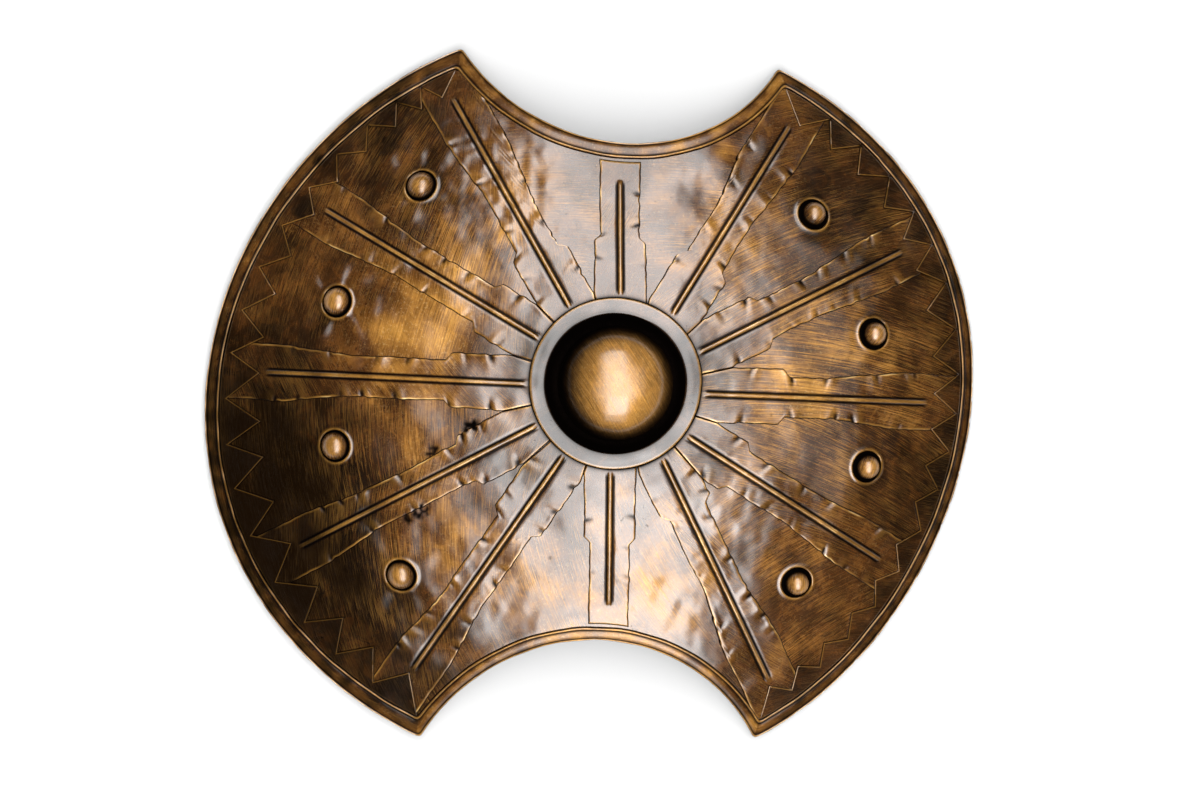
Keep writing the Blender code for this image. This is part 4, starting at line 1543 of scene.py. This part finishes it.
@dataclass
class Boss:
    """The dome in its sunk ring, one turned sheet; the ring and the dome's foot are painted black as shade,
    the left side more, round a painted highlight on the dome.
    """

    radius: float = 0.0545
    moat: float = 0.0125
    sheet: float = 0.0014
    lap: float = 0.0755
    sides: int = 144
    rings: int = 40
    slack: float = 0.0004
    ring_depth: float = 0.0120
    wall_turn: Stops = (
        (0.0, 0.0120), (0.0009, 0.0104), (0.0030, 0.0060), (0.0048, 0.0028), (0.0066, 0.0009), (0.0088, 0.0),
    )
    dome_foot: Plan = (0.0014, 0.0001)
    dome_spring: float = 0.0006
    beating: float = 0.00022
    beating_ripples: Ripples = Ripples(51, 0.035)
    # Where the painted highlight on the dome lies and how it fades, and how much painted shade darkens the
    # dome's left side.
    highlight_middle: float = 0.0035
    highlight_fade: Plan = (0.0555, 0.0180)
    left_side_shade: float = 0.55
    highlight_gild: float = 0.45
    inside_gild: float = -0.5
    inside_dirt: float = 0.3
    dome_grain: float = -58.0

    def _profile(self, low: float, top: float) -> list[Plan]:
        """Radius and height from the flange's outer edge to the top of the dome.

        Args:
            low: Height of the underside of the ring's floor.
            top: Height of the dome's top.

        Returns:
            The profile.
        """
        floor = low + self.sheet
        wall = self.radius + self.moat - self.slack
        profile = [(self.lap, floor + self.ring_depth)]
        profile += [(wall - inset, floor + rise) for inset, rise in self.wall_turn]
        profile.append((self.radius + self.dome_foot[0], floor + self.dome_foot[1]))
        spring = floor + self.dome_spring
        for i in range(self.rings):
            turn = math.pi / 2 * (i + 0.5) / self.rings
            profile.append((self.radius * math.cos(turn), spring + (top - spring) * math.sin(turn)))
        return profile + [(0.0, top)]

    def build(self, bench: Bench, finish: Material) -> Object:
        """Builds the boss and dresses it.

        Args:
            bench: Where it is placed.
            finish: Its material.

        Returns:
            The piece.
        """
        low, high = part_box("boss")
        profile = self._profile(low.z, high.z - 0.0002)
        section = list(reversed(profile)) + offset_profile(profile, self.sheet)
        turns = around(self.sides)
        loops = []
        for radius, height in section:
            x, y = radius * np.cos(turns), radius * np.sin(turns)
            beaten = self.beating * self.beating_ripples.at(x, y) * (radius < self.radius)
            loops.append(np.stack([x, y, np.minimum(height + beaten, high.z - 0.00005)], axis=1))
        shape = swept_shape(np.array(loops), closed=False)
        x, y, z = np.concatenate(loops).T
        coat = Coat.plain(x.size)
        # Painted light: gold round a painted highlight set off the dome's middle, fading to black shade at
        # its foot; the whole sunk ring is painted black as shade.
        from_highlight = np.hypot(x - self.highlight_middle, y)
        bright = smooth((self.highlight_fade[0] - from_highlight) / self.highlight_fade[1])
        lit_dome = np.where(np.hypot(x, y) < self.radius, bright, 0.0) * (z - low.z - self.sheet > 0)
        left_shaded = self.left_side_shade * smooth((0.05 - x / self.radius) / 0.95)
        coat.grime[:] = np.clip(1 - lit_dome * (1 - left_shaded), 0, 1)
        coat.gild[:] = self.highlight_gild * lit_dome
        inside = np.arange(x.size) >= len(profile) * self.sides
        coat.gild[inside] = self.inside_gild
        coat.grime[inside] = self.inside_dirt
        coat.stroke[:] = stroke_places(x, y, self.dome_grain, 14.0)
        return bench.piece("domed_boss", shape, coat, finish, "boss", 60)


@dataclass
class Stud:
    """A small domed stud in its hole, with its flange behind the shell."""

    form: BeatenForm
    layout: Layout
    name: str
    radius: float
    lean: float
    height: float = 0.0140
    lap: float = 0.0193
    sheet: float = 0.0014
    sides: int = 48
    rings: int = 14
    spring: float = 0.0016
    shell_sheet: float = 0.0012
    seat_gaps: Plan = (0.00045, 0.0006)
    slope_step: float = 0.001
    grain: float = 70.0

    def _frame(self) -> Matrix:
        """Matrix that stands the stud on the dish with its +Z along the face's normal."""
        inset, degrees = self.layout.studs[self.name]
        spot = self.form.on_oval(degrees, inset)
        step = self.slope_step
        x = np.array([spot.x + step, spot.x - step, spot.x, spot.x])
        y = np.array([spot.y, spot.y, spot.y + step, spot.y - step])
        z = self.form.dish(x, y)
        normal = Vector((-(z[0] - z[1]) / (2 * step), -(z[2] - z[3]) / (2 * step), 1.0)).normalized()
        middle = float(self.form.face(np.array([spot.x]), np.array([spot.y]))[0])
        place = Matrix.Translation((spot.x, spot.y, min(middle, float(z.mean()) + 0.0006)))
        return place @ normal.to_track_quat("Z", "Y").to_matrix().to_4x4()

    def build(self, bench: Bench, finish: Material) -> Object:
        """Builds the stud and dresses it.

        Args:
            bench: Where it is placed.
            finish: Its material.

        Returns:
            The piece.
        """
        bow = self.lap**2 * self.form.rise / self.form.radius**2
        face = -(self.shell_sheet + sum(self.seat_gaps) + bow)
        section = [(0.0, self.height)]
        for i in range(self.rings):
            turn = math.pi / 2 * (self.rings - 1 - i) / self.rings
            rise = self.spring + (self.height - self.spring) * math.sin(turn)
            section.append((self.radius * math.cos(turn), rise))
        foot = ((0.0002, 0.0), (0.0008, face + 0.0003), (0.0014, face))
        section += [(self.radius + out, level) for out, level in foot]
        section += [(self.lap, face), (self.lap, face - self.sheet), (0.0, face - self.sheet)]
        turns = around(self.sides)
        stand = self._frame()
        to_boss = Vector((-stand.translation.x, -stand.translation.y, 0)).normalized()
        inward = stand.to_3x3().inverted() @ to_boss
        loops = []
        for radius, height in section:
            shift = self.lean * max(height, 0.0)
            x, y = radius * np.cos(turns) + shift * inward.x, radius * np.sin(turns) + shift * inward.y
            loops.append([stand @ Vector((a, b, height)) for a, b in zip(x.tolist(), y.tolist())])
        loops = np.array(loops)
        shape = swept_shape(loops, closed=False)
        x, y, _ = loops.reshape(-1, 3).T
        coat = Coat.plain(x.size)
        level = np.repeat([height for _, height in section], self.sides)
        # Painted shade: the ball darkens to black down its side and into the hole; its top is lightened as a
        # painted highlight.
        coat.grime[:] = 1 - smooth((level - 0.0012) / 0.0075)
        coat.wear[:] = 0.35 * smooth((level - 0.008) / 0.005)
        coat.gild[:] = 0.28 * smooth((level - 0.004) / 0.008)
        coat.stroke[:] = stroke_places(x, y, self.grain, 16.0)
        return bench.piece(self.name + "_domed", shape, coat, finish, self.name, 60)


@dataclass
class Fitting:
    """A strip arched off the shell's inside between two feet, each held by two rivets."""

    form: BeatenForm
    node: str
    name: str
    span: float
    stand_off: float
    strip: float
    foot: float
    turn: float
    inset: float
    sheet: float = 0.0024
    gap: float = 0.0009
    shell_sheet: float = 0.0012
    steps: int = 48
    soft: float = 0.0006
    bend: float = 0.004
    toe: float = 0.4
    rivet: float = 0.0042
    rivet_place: Plan = (0.28, 0.58)

    def _under(self, x: float, y: float) -> float:
        """Height of the shell's inside at a plan place."""
        return float(self.form.face(np.array([x]), np.array([y]))[0]) - self.shell_sheet - self.gap

    def _path(self) -> list[Row]:
        """Along, drop, and the outward direction of each step of the strip."""
        half = self.span / 2
        path = [(-half - self.foot, 0.0, 0.0, 1.0), (-half - self.bend, 0.0, 0.0, 1.0)]
        for i in range(self.steps + 1):
            turn = math.pi * i / self.steps
            sway = min(1.0, 3 * math.sin(turn))
            across, down = -self.stand_off * math.cos(turn), half * math.sin(turn)
            length = math.hypot(across, down)
            out = across / length * sway + math.copysign(self.toe, -math.cos(turn)) * (1 - sway)
            level = down / length * sway + (1 - sway)
            path.append((-half * math.cos(turn), self.stand_off * math.sin(turn), out, level))
        path += [(half + self.bend, 0.0, 0.0, 1.0), (half + self.foot, 0.0, 0.0, 1.0)]
        return path

    def build(self, bench: Bench, finish: Material) -> list[Object]:
        """Builds the strip and its rivets, and dresses them.

        Args:
            bench: Where they are placed.
            finish: Their material.

        Returns:
            The pieces.
        """
        spot = self.form.on_oval(self.turn, self.inset)
        side, soft, sheet = self.strip / 2, self.soft, self.sheet
        section = [(-side + soft, 0.0), (side - soft, 0.0), (side, soft), (side, sheet - soft)]
        section += [(side - soft, sheet), (-side + soft, sheet), (-side, sheet - soft), (-side, soft)]
        rings = []
        for along, drop, out, level in self._path():
            ring = []
            for across, layer in section:
                x, y = spot.x + across, spot.y + along + out * layer
                ring.append((x, y, self._under(x, y) - drop - level * layer))
            rings.append(ring)
        shape = swept_shape(np.array(rings), closed=False)
        shape.verts.ensure_lookup_table()
        shape.faces.new(shape.verts[:len(section)])
        shape.faces.new(shape.verts[-len(section):])
        x, y, _ = np.array(rings).reshape(-1, 3).T
        coat = Coat.plain(x.size)
        coat.wear[:] = 0.5 * (np.abs(x - spot.x) > side - 2 * soft)
        coat.gild[:] = -0.3
        coat.stroke[:] = stroke_places(y, x, 0.0, 18.0)
        pieces = [bench.piece(self.name, shape, coat, finish, self.node, 40)]
        pieces.append(self._rivets(bench, finish, spot))
        return pieces

    def _rivets(self, bench: Bench, finish: Material, spot: Vector) -> Object:
        """Builds the rivet heads on the feet.

        Args:
            bench: Where they are placed.
            finish: Their material.
            spot: The fitting's middle.

        Returns:
            The piece.
        """
        shape = bmesh.new()
        for end in (-1, 1):
            for step in (-1, 1):
                x = spot.x + step * self.strip * self.rivet_place[0]
                y = spot.y + end * (self.span / 2 + self.foot * self.rivet_place[1])
                place = Matrix.Translation((x, y, self._under(x, y) - self.sheet - 0.0002))
                head = bmesh.ops.create_uvsphere(
                    shape, u_segments=20, v_segments=12, radius=self.rivet, matrix=place,
                )
                for vertex in head["verts"]:
                    drop = vertex.co.z - place.translation.z
                    vertex.co.z = place.translation.z + (drop * 0.55 if drop < 0 else drop * 0.03)
        return bench.piece(self.name + "_rivets", shape, None, finish, None, 60)


class Wiring:
    """Adds nodes to a shader tree and joins them."""

    def __init__(self, tree: NodeTree) -> None:
        """Takes the tree that the nodes go into."""
        self.tree = tree

    def feed(self, socket: Socket, value: Input) -> None:
        """Joins a socket to another one, or sets its value.

        Args:
            socket: The input socket.
            value: The output socket that feeds it, or its value.
        """
        if isinstance(value, Socket):
            self.tree.links.new(value, socket)
        elif isinstance(value, tuple) and socket.type == "RGBA":
            socket.default_value = (*value, 1.0)
        else:
            socket.default_value = value

    def node(self, kind: str, feeds: dict | None = None, **settings: object) -> bpy.types.Node:
        """Adds a node.

        Args:
            kind: Its kind.
            feeds: What its inputs take, by their names or numbers.
            settings: Its settings.

        Returns:
            The node.
        """
        made = self.tree.nodes.new(kind)
        for label, value in settings.items():
            setattr(made, label, value)
        for label, value in (feeds or {}).items():
            self.feed(made.inputs[label], value)
        return made

    def sum(self, operation: str, *values: Input, clamp: bool = False) -> Socket:
        """A Math node's value, held between 0 and 1 if it is clamped."""
        feeds = dict(enumerate(values))
        return self.node("ShaderNodeMath", feeds, operation=operation, use_clamp=clamp).outputs[0]

    def weigh(self, value: Input, share: float, rest: Input) -> Socket:
        """A value times a share, added to the rest."""
        return self.sum("MULTIPLY_ADD", value, share, rest)

    def times(self, *values: Input, clamp: bool = False) -> Socket:
        """Two values multiplied."""
        return self.sum("MULTIPLY", *values, clamp=clamp)

    def between(self, value: Input, low: float, high: float, first: float = 0.0, last: float = 1.0) -> Socket:
        """A value's soft step from first, at low, to last, at high."""
        feeds = {"Value": value, "From Min": low, "From Max": high, "To Min": first, "To Max": last}
        return self.node("ShaderNodeMapRange", feeds, interpolation_type="SMOOTHSTEP").outputs["Result"]

    def blend(self, share: Input, under: Input, over: Input) -> Socket:
        """Two colours mixed, by the share of the second."""
        return self.node("ShaderNodeMix", {0: share, 6: under, 7: over}, data_type="RGBA").outputs[2]

    def noise(self, place: Input, scale: float, detail: float, roughness: float, warp: float = 0.0) -> Socket:
        """A noise texture's value: its scale, how many finer layers it has, how strong, and its warp."""
        feeds = {"Vector": place, "Scale": scale, "Detail": detail, "Roughness": roughness,
                 "Distortion": warp}
        return self.node("ShaderNodeTexNoise", feeds).outputs["Fac"]

    def group(self, tree: NodeTree, **values: Input) -> bpy.types.bpy_prop_collection:
        """The output sockets of a node group, placed with its inputs by name."""
        return self.node("ShaderNodeGroup", values, node_tree=tree).outputs


def new_group(name: str, takes: dict[str, Input | None], gives: tuple[str, ...]) -> tuple:
    """Starts a shader node group with named sockets.

    Args:
        name: The group's name.
        takes: Its inputs: a number, a colour, or None for a vector.
        gives: Its outputs, those named colour being colours and the rest values.

    Returns:
        The wiring, the input node's sockets and the output node's sockets.
    """
    tree = bpy.data.node_groups.new(name, "ShaderNodeTree")
    for label, value in takes.items():
        kind = "Vector" if value is None else "Color" if isinstance(value, tuple) else "Float"
        socket = tree.interface.new_socket(label, in_out="INPUT", socket_type="NodeSocket" + kind)
        if value is not None:
            socket.default_value = (*value, 1.0) if isinstance(value, tuple) else value
    for label in gives:
        kind = "Color" if label == "colour" else "Float"
        tree.interface.new_socket(label, in_out="OUTPUT", socket_type="NodeSocket" + kind)
    wiring = Wiring(tree)
    return wiring, wiring.node("NodeGroupInput").outputs, wiring.node("NodeGroupOutput").inputs


@dataclass
class Effects:
    """The shader node groups that the bronzes share."""

    strokes: NodeTree = field(init=False)
    age: NodeTree = field(init=False)
    paint: NodeTree = field(init=False)

    def __post_init__(self) -> None:
        """Builds the groups."""
        self.strokes = self._strokes()
        self.age = self._age()
        self.paint = self._paint()

    def _strokes(self) -> NodeTree:
        """Dry brush strokes along the brush's direction, wide ones and hair lines."""
        make, takes, gives = new_group(
            "dry_brush_strokes",
            {"stroke": None, "place": None, "length": 0.05, "width": 0.0016, "cover": 0.0},
            ("strokes", "lines", "gaps"),
        )
        parts = make.node("ShaderNodeSeparateXYZ", {0: takes["stroke"]})
        along = make.sum("DIVIDE", parts.outputs[0], takes["length"])
        across = make.sum("DIVIDE", parts.outputs[1], takes["width"])
        wide = make.node("ShaderNodeCombineXYZ", {0: along, 1: across, 2: parts.outputs[2]}).outputs[0]
        broad = make.noise(wide, 1.0, 3.0, 0.62, 0.25)
        fine = make.noise(wide, 3.1, 2.0, 0.55, 0.1)
        patches = make.sum("SUBTRACT", make.noise(takes["place"], 26.0, 2.0, 0.5), 0.5)
        level = make.weigh(patches, 0.35, make.sum("ADD", broad, takes["cover"]))
        make.feed(gives["strokes"], make.between(level, 0.48, 0.70))
        make.feed(gives["gaps"], make.between(level, 0.52, 0.34))
        hair = make.weigh(patches, 0.35, make.sum("ADD", fine, takes["cover"]))
        make.feed(gives["lines"], make.between(hair, 0.52, 0.66))
        return make.tree

    def _age(self) -> NodeTree:
        """Patina: slow clouds, blotches, specks and small pits."""
        make, takes, gives = new_group("patina", {"place": None}, ("clouds", "blotches", "specks", "pits"))
        place = takes["place"]
        make.feed(gives["clouds"], make.between(make.noise(place, 11.0, 3.0, 0.55, 0.6), 0.36, 0.66))
        make.feed(gives["blotches"], make.between(make.noise(place, 62.0, 4.0, 0.62, 0.9), 0.42, 0.66))
        make.feed(gives["specks"], make.between(make.noise(place, 430.0, 2.0, 0.6), 0.54, 0.72))
        pits = make.noise(place, 120.0, 3.0, 0.7, 1.5)
        make.feed(gives["pits"], make.between(pits, 0.66, 0.74))
        return make.tree

    def _paint(self) -> NodeTree:
        """The bronze's colour, gloss and relief from its strokes, its age and how it was rubbed, with the
        painted shade and highlights that its masks carry.
        """
        colours = {"shade": (0.02, 0.01, 0.005), "body": (0.1, 0.05, 0.02), "gold": (0.5, 0.3, 0.1),
                   "bright": (0.9, 0.7, 0.4), "soot_and_shade": (0.004, 0.003, 0.002)}
        masks = ("strokes", "lines", "gaps", "clouds", "blotches", "specks", "pits", "wear", "grime", "gild",
                 "brush", "brushing", "polish")
        outputs = ("colour", "roughness", "metallic", "coat", "height")
        make, takes, gives = new_group("bronze_paint", colours | dict.fromkeys(masks, 0.0), outputs)
        gild = takes["gild"]
        worn = make.weigh(takes["clouds"], 0.24, make.times(takes["blotches"], 0.20))
        brush = make.times(takes["brush"], takes["brushing"])
        brushed = make.times(takes["strokes"], brush)
        tone = make.sum("ADD", make.weigh(gild, 1.0, worn), make.times(brushed, 0.5))
        colour = make.blend(make.between(tone, -0.30, 0.90), takes["shade"], takes["body"])
        rich = make.sum("ADD", make.weigh(gild, 1.2, worn), make.times(brushed, 0.55))
        laid = make.between(rich, 0.30, 1.55)
        colour = make.blend(laid, colour, takes["gold"])
        hair = make.times(make.times(takes["lines"], brush), make.weigh(gild, 0.8, 0.55), clamp=True)
        colour = make.blend(hair, colour, takes["gold"])
        bare = make.times(make.times(takes["gaps"], brush), 0.60, clamp=True)
        colour = make.blend(bare, colour, takes["shade"])
        dust = make.times(takes["specks"], make.weigh(gild, 0.14, 0.03), clamp=True)
        colour = make.blend(dust, colour, takes["bright"])
        patchy = make.between(takes["blotches"], 0.0, 0.9, 0.84, 1.0)
        kept = make.between(gild, -0.60, -0.10, 0.35, 1.0)
        # Wear, with the painted highlights that ride on it, turns the paint gold and then pale.
        rubbed = make.times(make.times(takes["wear"], patchy), kept, clamp=True)
        colour = make.blend(make.times(rubbed, 0.75), colour, takes["gold"])
        colour = make.blend(make.between(rubbed, 0.66, 1.0, 0.0, 0.40), colour, takes["bright"])
        # Real grime and painted shade go to near black here; a black metal base reflects nothing, so the
        # boss's sunk ring shows pure black.
        darkening = make.sum("MAXIMUM", takes["grime"], make.times(takes["pits"], 0.5), clamp=True)
        make.feed(gives["colour"], make.blend(darkening, colour, takes["soot_and_shade"]))
        clean = make.sum("SUBTRACT", 1.0, darkening)
        rough = make.weigh(laid, -0.05, make.weigh(takes["blotches"], 0.12, takes["polish"]))
        make.feed(gives["roughness"], make.sum("MULTIPLY_ADD", darkening, 0.35, rough, clamp=True))
        gold = make.sum("MAXIMUM", make.sum("MAXIMUM", laid, rubbed), hair)
        metal = make.times(make.weigh(gold, 0.55, 0.25), clean)
        make.feed(gives["metallic"], make.sum("ADD", metal, darkening, clamp=True))
        # The coat thins where the gold is low, so the painted shade on the outer parts loses its sheen too.
        gloss = make.times(make.between(gild, -0.60, -0.05, 0.04, 1.0), clean)
        gloss = make.times(gloss, make.between(laid, 0.0, 0.8, 1.0, 0.5))
        make.feed(gives["coat"], make.times(make.between(takes["clouds"], 0.0, 1.0, 0.75, 1.0), gloss))
        height = make.weigh(takes["strokes"], 0.5, make.times(takes["lines"], 0.3))
        height = make.weigh(takes["specks"], 0.25, height)
        make.feed(gives["height"], make.weigh(takes["pits"], -1.2, height))
        return make.tree


@dataclass(frozen=True)
class BronzeFinish:
    """One bronze of the shield: its colours, its brush and its gloss."""

    name: str
    shade: Colour = srgb(17, 8, 2)
    body: Colour = srgb(94, 54, 17)
    gold: Colour = srgb(188, 136, 62)
    bright: Colour = srgb(255, 226, 160)
    # Near black, for real grime and for painted shade.
    soot_and_shade: Colour = srgb(8, 5, 4)
    stroke_length: float = 0.050
    stroke_width: float = 0.0012
    cover: float = 0.0
    brushing: float = 0.55
    polish: float = 0.36
    coat_roughness: float = 0.17
    coat_index: float = 1.8
    gleam: float = 0.02
    relief: float = 0.00025

    def make(self, effects: Effects) -> Material:
        """Makes the material.

        Args:
            effects: The shared groups.

        Returns:
            The material.
        """
        material = bpy.data.materials.new(self.name)
        material.use_nodes = True
        wire = Wiring(material.node_tree)
        shader = next(n for n in material.node_tree.nodes if n.type == "BSDF_PRINCIPLED")
        place = wire.node("ShaderNodeTexCoord").outputs["Object"]
        stroke = wire.node("ShaderNodeAttribute", attribute_name="stroke").outputs["Vector"]
        masks = {label: wire.node("ShaderNodeAttribute", attribute_name=label).outputs["Fac"]
                 for label in ("wear", "grime", "gild", "brush")}
        strokes = wire.group(effects.strokes, stroke=stroke, place=place, length=self.stroke_length,
                             width=self.stroke_width, cover=self.cover)
        age = wire.group(effects.age, place=place)
        masks |= {label: strokes[label] for label in ("strokes", "lines", "gaps")}
        masks |= {label: age[label] for label in ("clouds", "blotches", "specks", "pits")}
        own = {label: getattr(self, label)
               for label in ("shade", "body", "gold", "bright", "soot_and_shade", "brushing", "polish")}
        paint = wire.group(effects.paint, **masks, **own)
        feeds = {"Strength": 1.0, "Distance": self.relief, "Height": paint["height"]}
        bump = wire.node("ShaderNodeBump", feeds)
        for label, value in {"Base Color": paint["colour"], "Roughness": paint["roughness"],
                             "Metallic": paint["metallic"], "Coat Weight": paint["coat"],
                             "Coat Roughness": self.coat_roughness, "Coat IOR": self.coat_index,
                             "Specular IOR Level": self.gleam, "Normal": bump.outputs[0]}.items():
            wire.feed(shader.inputs[label], value)
        return material


@dataclass
class PhotoStudio:
    """The floor, the soft lights and the camera that looks straight down."""

    camera_place: Place = (0.0111, -0.0066, 2.4)
    lens: float = 72.0
    floor_size: float = 12.0
    strip_place: Plan = (0.14, 0.0)
    strip_heights: Plan = (2.50, 0.07)
    strip_length: float = 7.0
    strips: tuple[Plan, ...] = ((1.7, 124.0), (2.5, 96.0), (3.4, 56.0))
    low_place: Place = (0.15, -2.5, 2.90)
    low_size: Plan = (2.2, 3.8)
    low_power: float = 61.0
    fill_place: Place = (1.7, 0.2, 2.2)
    fill_size: Plan = (1.2, 2.4)
    fill_power: float = 7.0
    world: float = 0.02
    world_tint: Row = (0.96, 0.97, 1.0, 1.0)
    paper: Row = (0.48, 0.48, 0.48, 1.0)
    paper_roughness: float = 0.9

    def _panel(self, name: str, place: Place, size: Plan, power: float) -> None:
        """Adds a soft panel light that faces the shield.

        Args:
            name: The light's name.
            place: Where it stands.
            size: Its width and length.
            power: Its power in watts.
        """
        light = bpy.data.lights.new(name, "AREA")
        light.shape = "RECTANGLE"
        light.size, light.size_y = size
        light.energy = power
        panel = bpy.data.objects.new(name, light)
        panel.location = place
        back = Vector(place).normalized()
        across = Vector((0.0, 1.0, 0.0)).cross(back).normalized()
        panel.rotation_euler = Matrix((across, back.cross(across), back)).transposed().to_euler()
        bpy.context.scene.collection.objects.link(panel)

    def build(self) -> None:
        """Builds the studio."""
        scene = bpy.context.scene
        scene.view_settings.view_transform = "Standard"
        lens = bpy.data.cameras.new("photo_camera")
        lens.sensor_width = 36.0
        lens.lens = self.lens
        camera = bpy.data.objects.new("photo_camera", lens)
        camera.location = self.camera_place
        scene.collection.objects.link(camera)
        scene.camera = camera
        lowest, apart = self.strip_heights
        for number, (width, power) in enumerate(self.strips):
            place = (*self.strip_place, lowest + number * apart)
            self._panel(f"strip_light_{number}", place, (width, self.strip_length), power)
        self._panel("low_light", self.low_place, self.low_size, self.low_power)
        self._panel("fill_light", self.fill_place, self.fill_size, self.fill_power)
        world = bpy.data.worlds.new("soft_room")
        world.use_nodes = True
        backdrop = next(n for n in world.node_tree.nodes if n.type == "BACKGROUND")
        backdrop.inputs["Color"].default_value = self.world_tint
        backdrop.inputs["Strength"].default_value = self.world
        scene.world = world
        shape = bmesh.new()
        bmesh.ops.create_grid(shape, x_segments=8, y_segments=8, size=self.floor_size / 2)
        mesh = bpy.data.meshes.new("pale_floor")
        shape.to_mesh(mesh)
        shape.free()
        floor = bpy.data.objects.new("pale_floor", mesh)
        scene.collection.objects.link(floor)
        paper = bpy.data.materials.new("pale_paper")
        paper.use_nodes = True
        shader = next(n for n in paper.node_tree.nodes if n.type == "BSDF_PRINCIPLED")
        shader.inputs["Base Color"].default_value = self.paper
        shader.inputs["Roughness"].default_value = self.paper_roughness
        mesh.materials.append(paper)


def main() -> None:
    """Builds the studio and every piece of the shield, in order."""
    logging.basicConfig(level=logging.INFO, format="%(message)s")
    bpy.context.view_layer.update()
    PhotoStudio().build()
    bench, form, layout, effects = Bench(), BeatenForm(), Layout(), Effects()
    shell, rim, strap, border, collar, boss, stud, fitting = (finish.make(effects) for finish in (
        BronzeFinish("shell_bronze", brushing=0.9),
        BronzeFinish("rim_bronze", stroke_length=0.03, coat_index=1.65),
        BronzeFinish("strap_bronze", brushing=0.75),
        BronzeFinish("border_bronze", brushing=0.6),
        BronzeFinish("collar_bronze", brushing=0.25, body=srgb(124, 86, 62), coat_index=2.05),
        BronzeFinish("boss_bronze", brushing=0.9, body=srgb(140, 98, 50), stroke_length=0.035, polish=0.42),
        BronzeFinish("stud_bronze", brushing=1.1, stroke_length=0.02, polish=0.42, coat_roughness=0.26),
        BronzeFinish("fitting_bronze", brushing=0.1),
    ))
    Shell(form, layout).build(bench, shell)
    Rim(form).build(bench, rim)
    for k, name in enumerate(layout.straps):
        Strap(form, layout, name, 60 + k).build(bench, strap)
    for side in (Side.LEFT, Side.RIGHT):
        Border(form, layout, side).build(bench, border)
    Collar(form).build(bench, collar)
    Boss().build(bench, boss)
    for name in layout.studs:
        radius, lean = (0.0134, 0.22) if "left" in name else (0.0114, 0.0)
        Stud(form, layout, name, radius, lean).build(bench, stud)
    arm_band = Fitting(form, "arm_band", "arm_band_strip", 0.116, 0.056, 0.050, 0.024, 180, 0.283)
    hand_grip = Fitting(form, "hand_grip", "hand_grip_strip", 0.120, 0.038, 0.024, 0.022, 0, 0.1675)
    for handle in (arm_band, hand_grip):
        handle.build(bench, fitting)


if __name__ == "__main__":
    main()
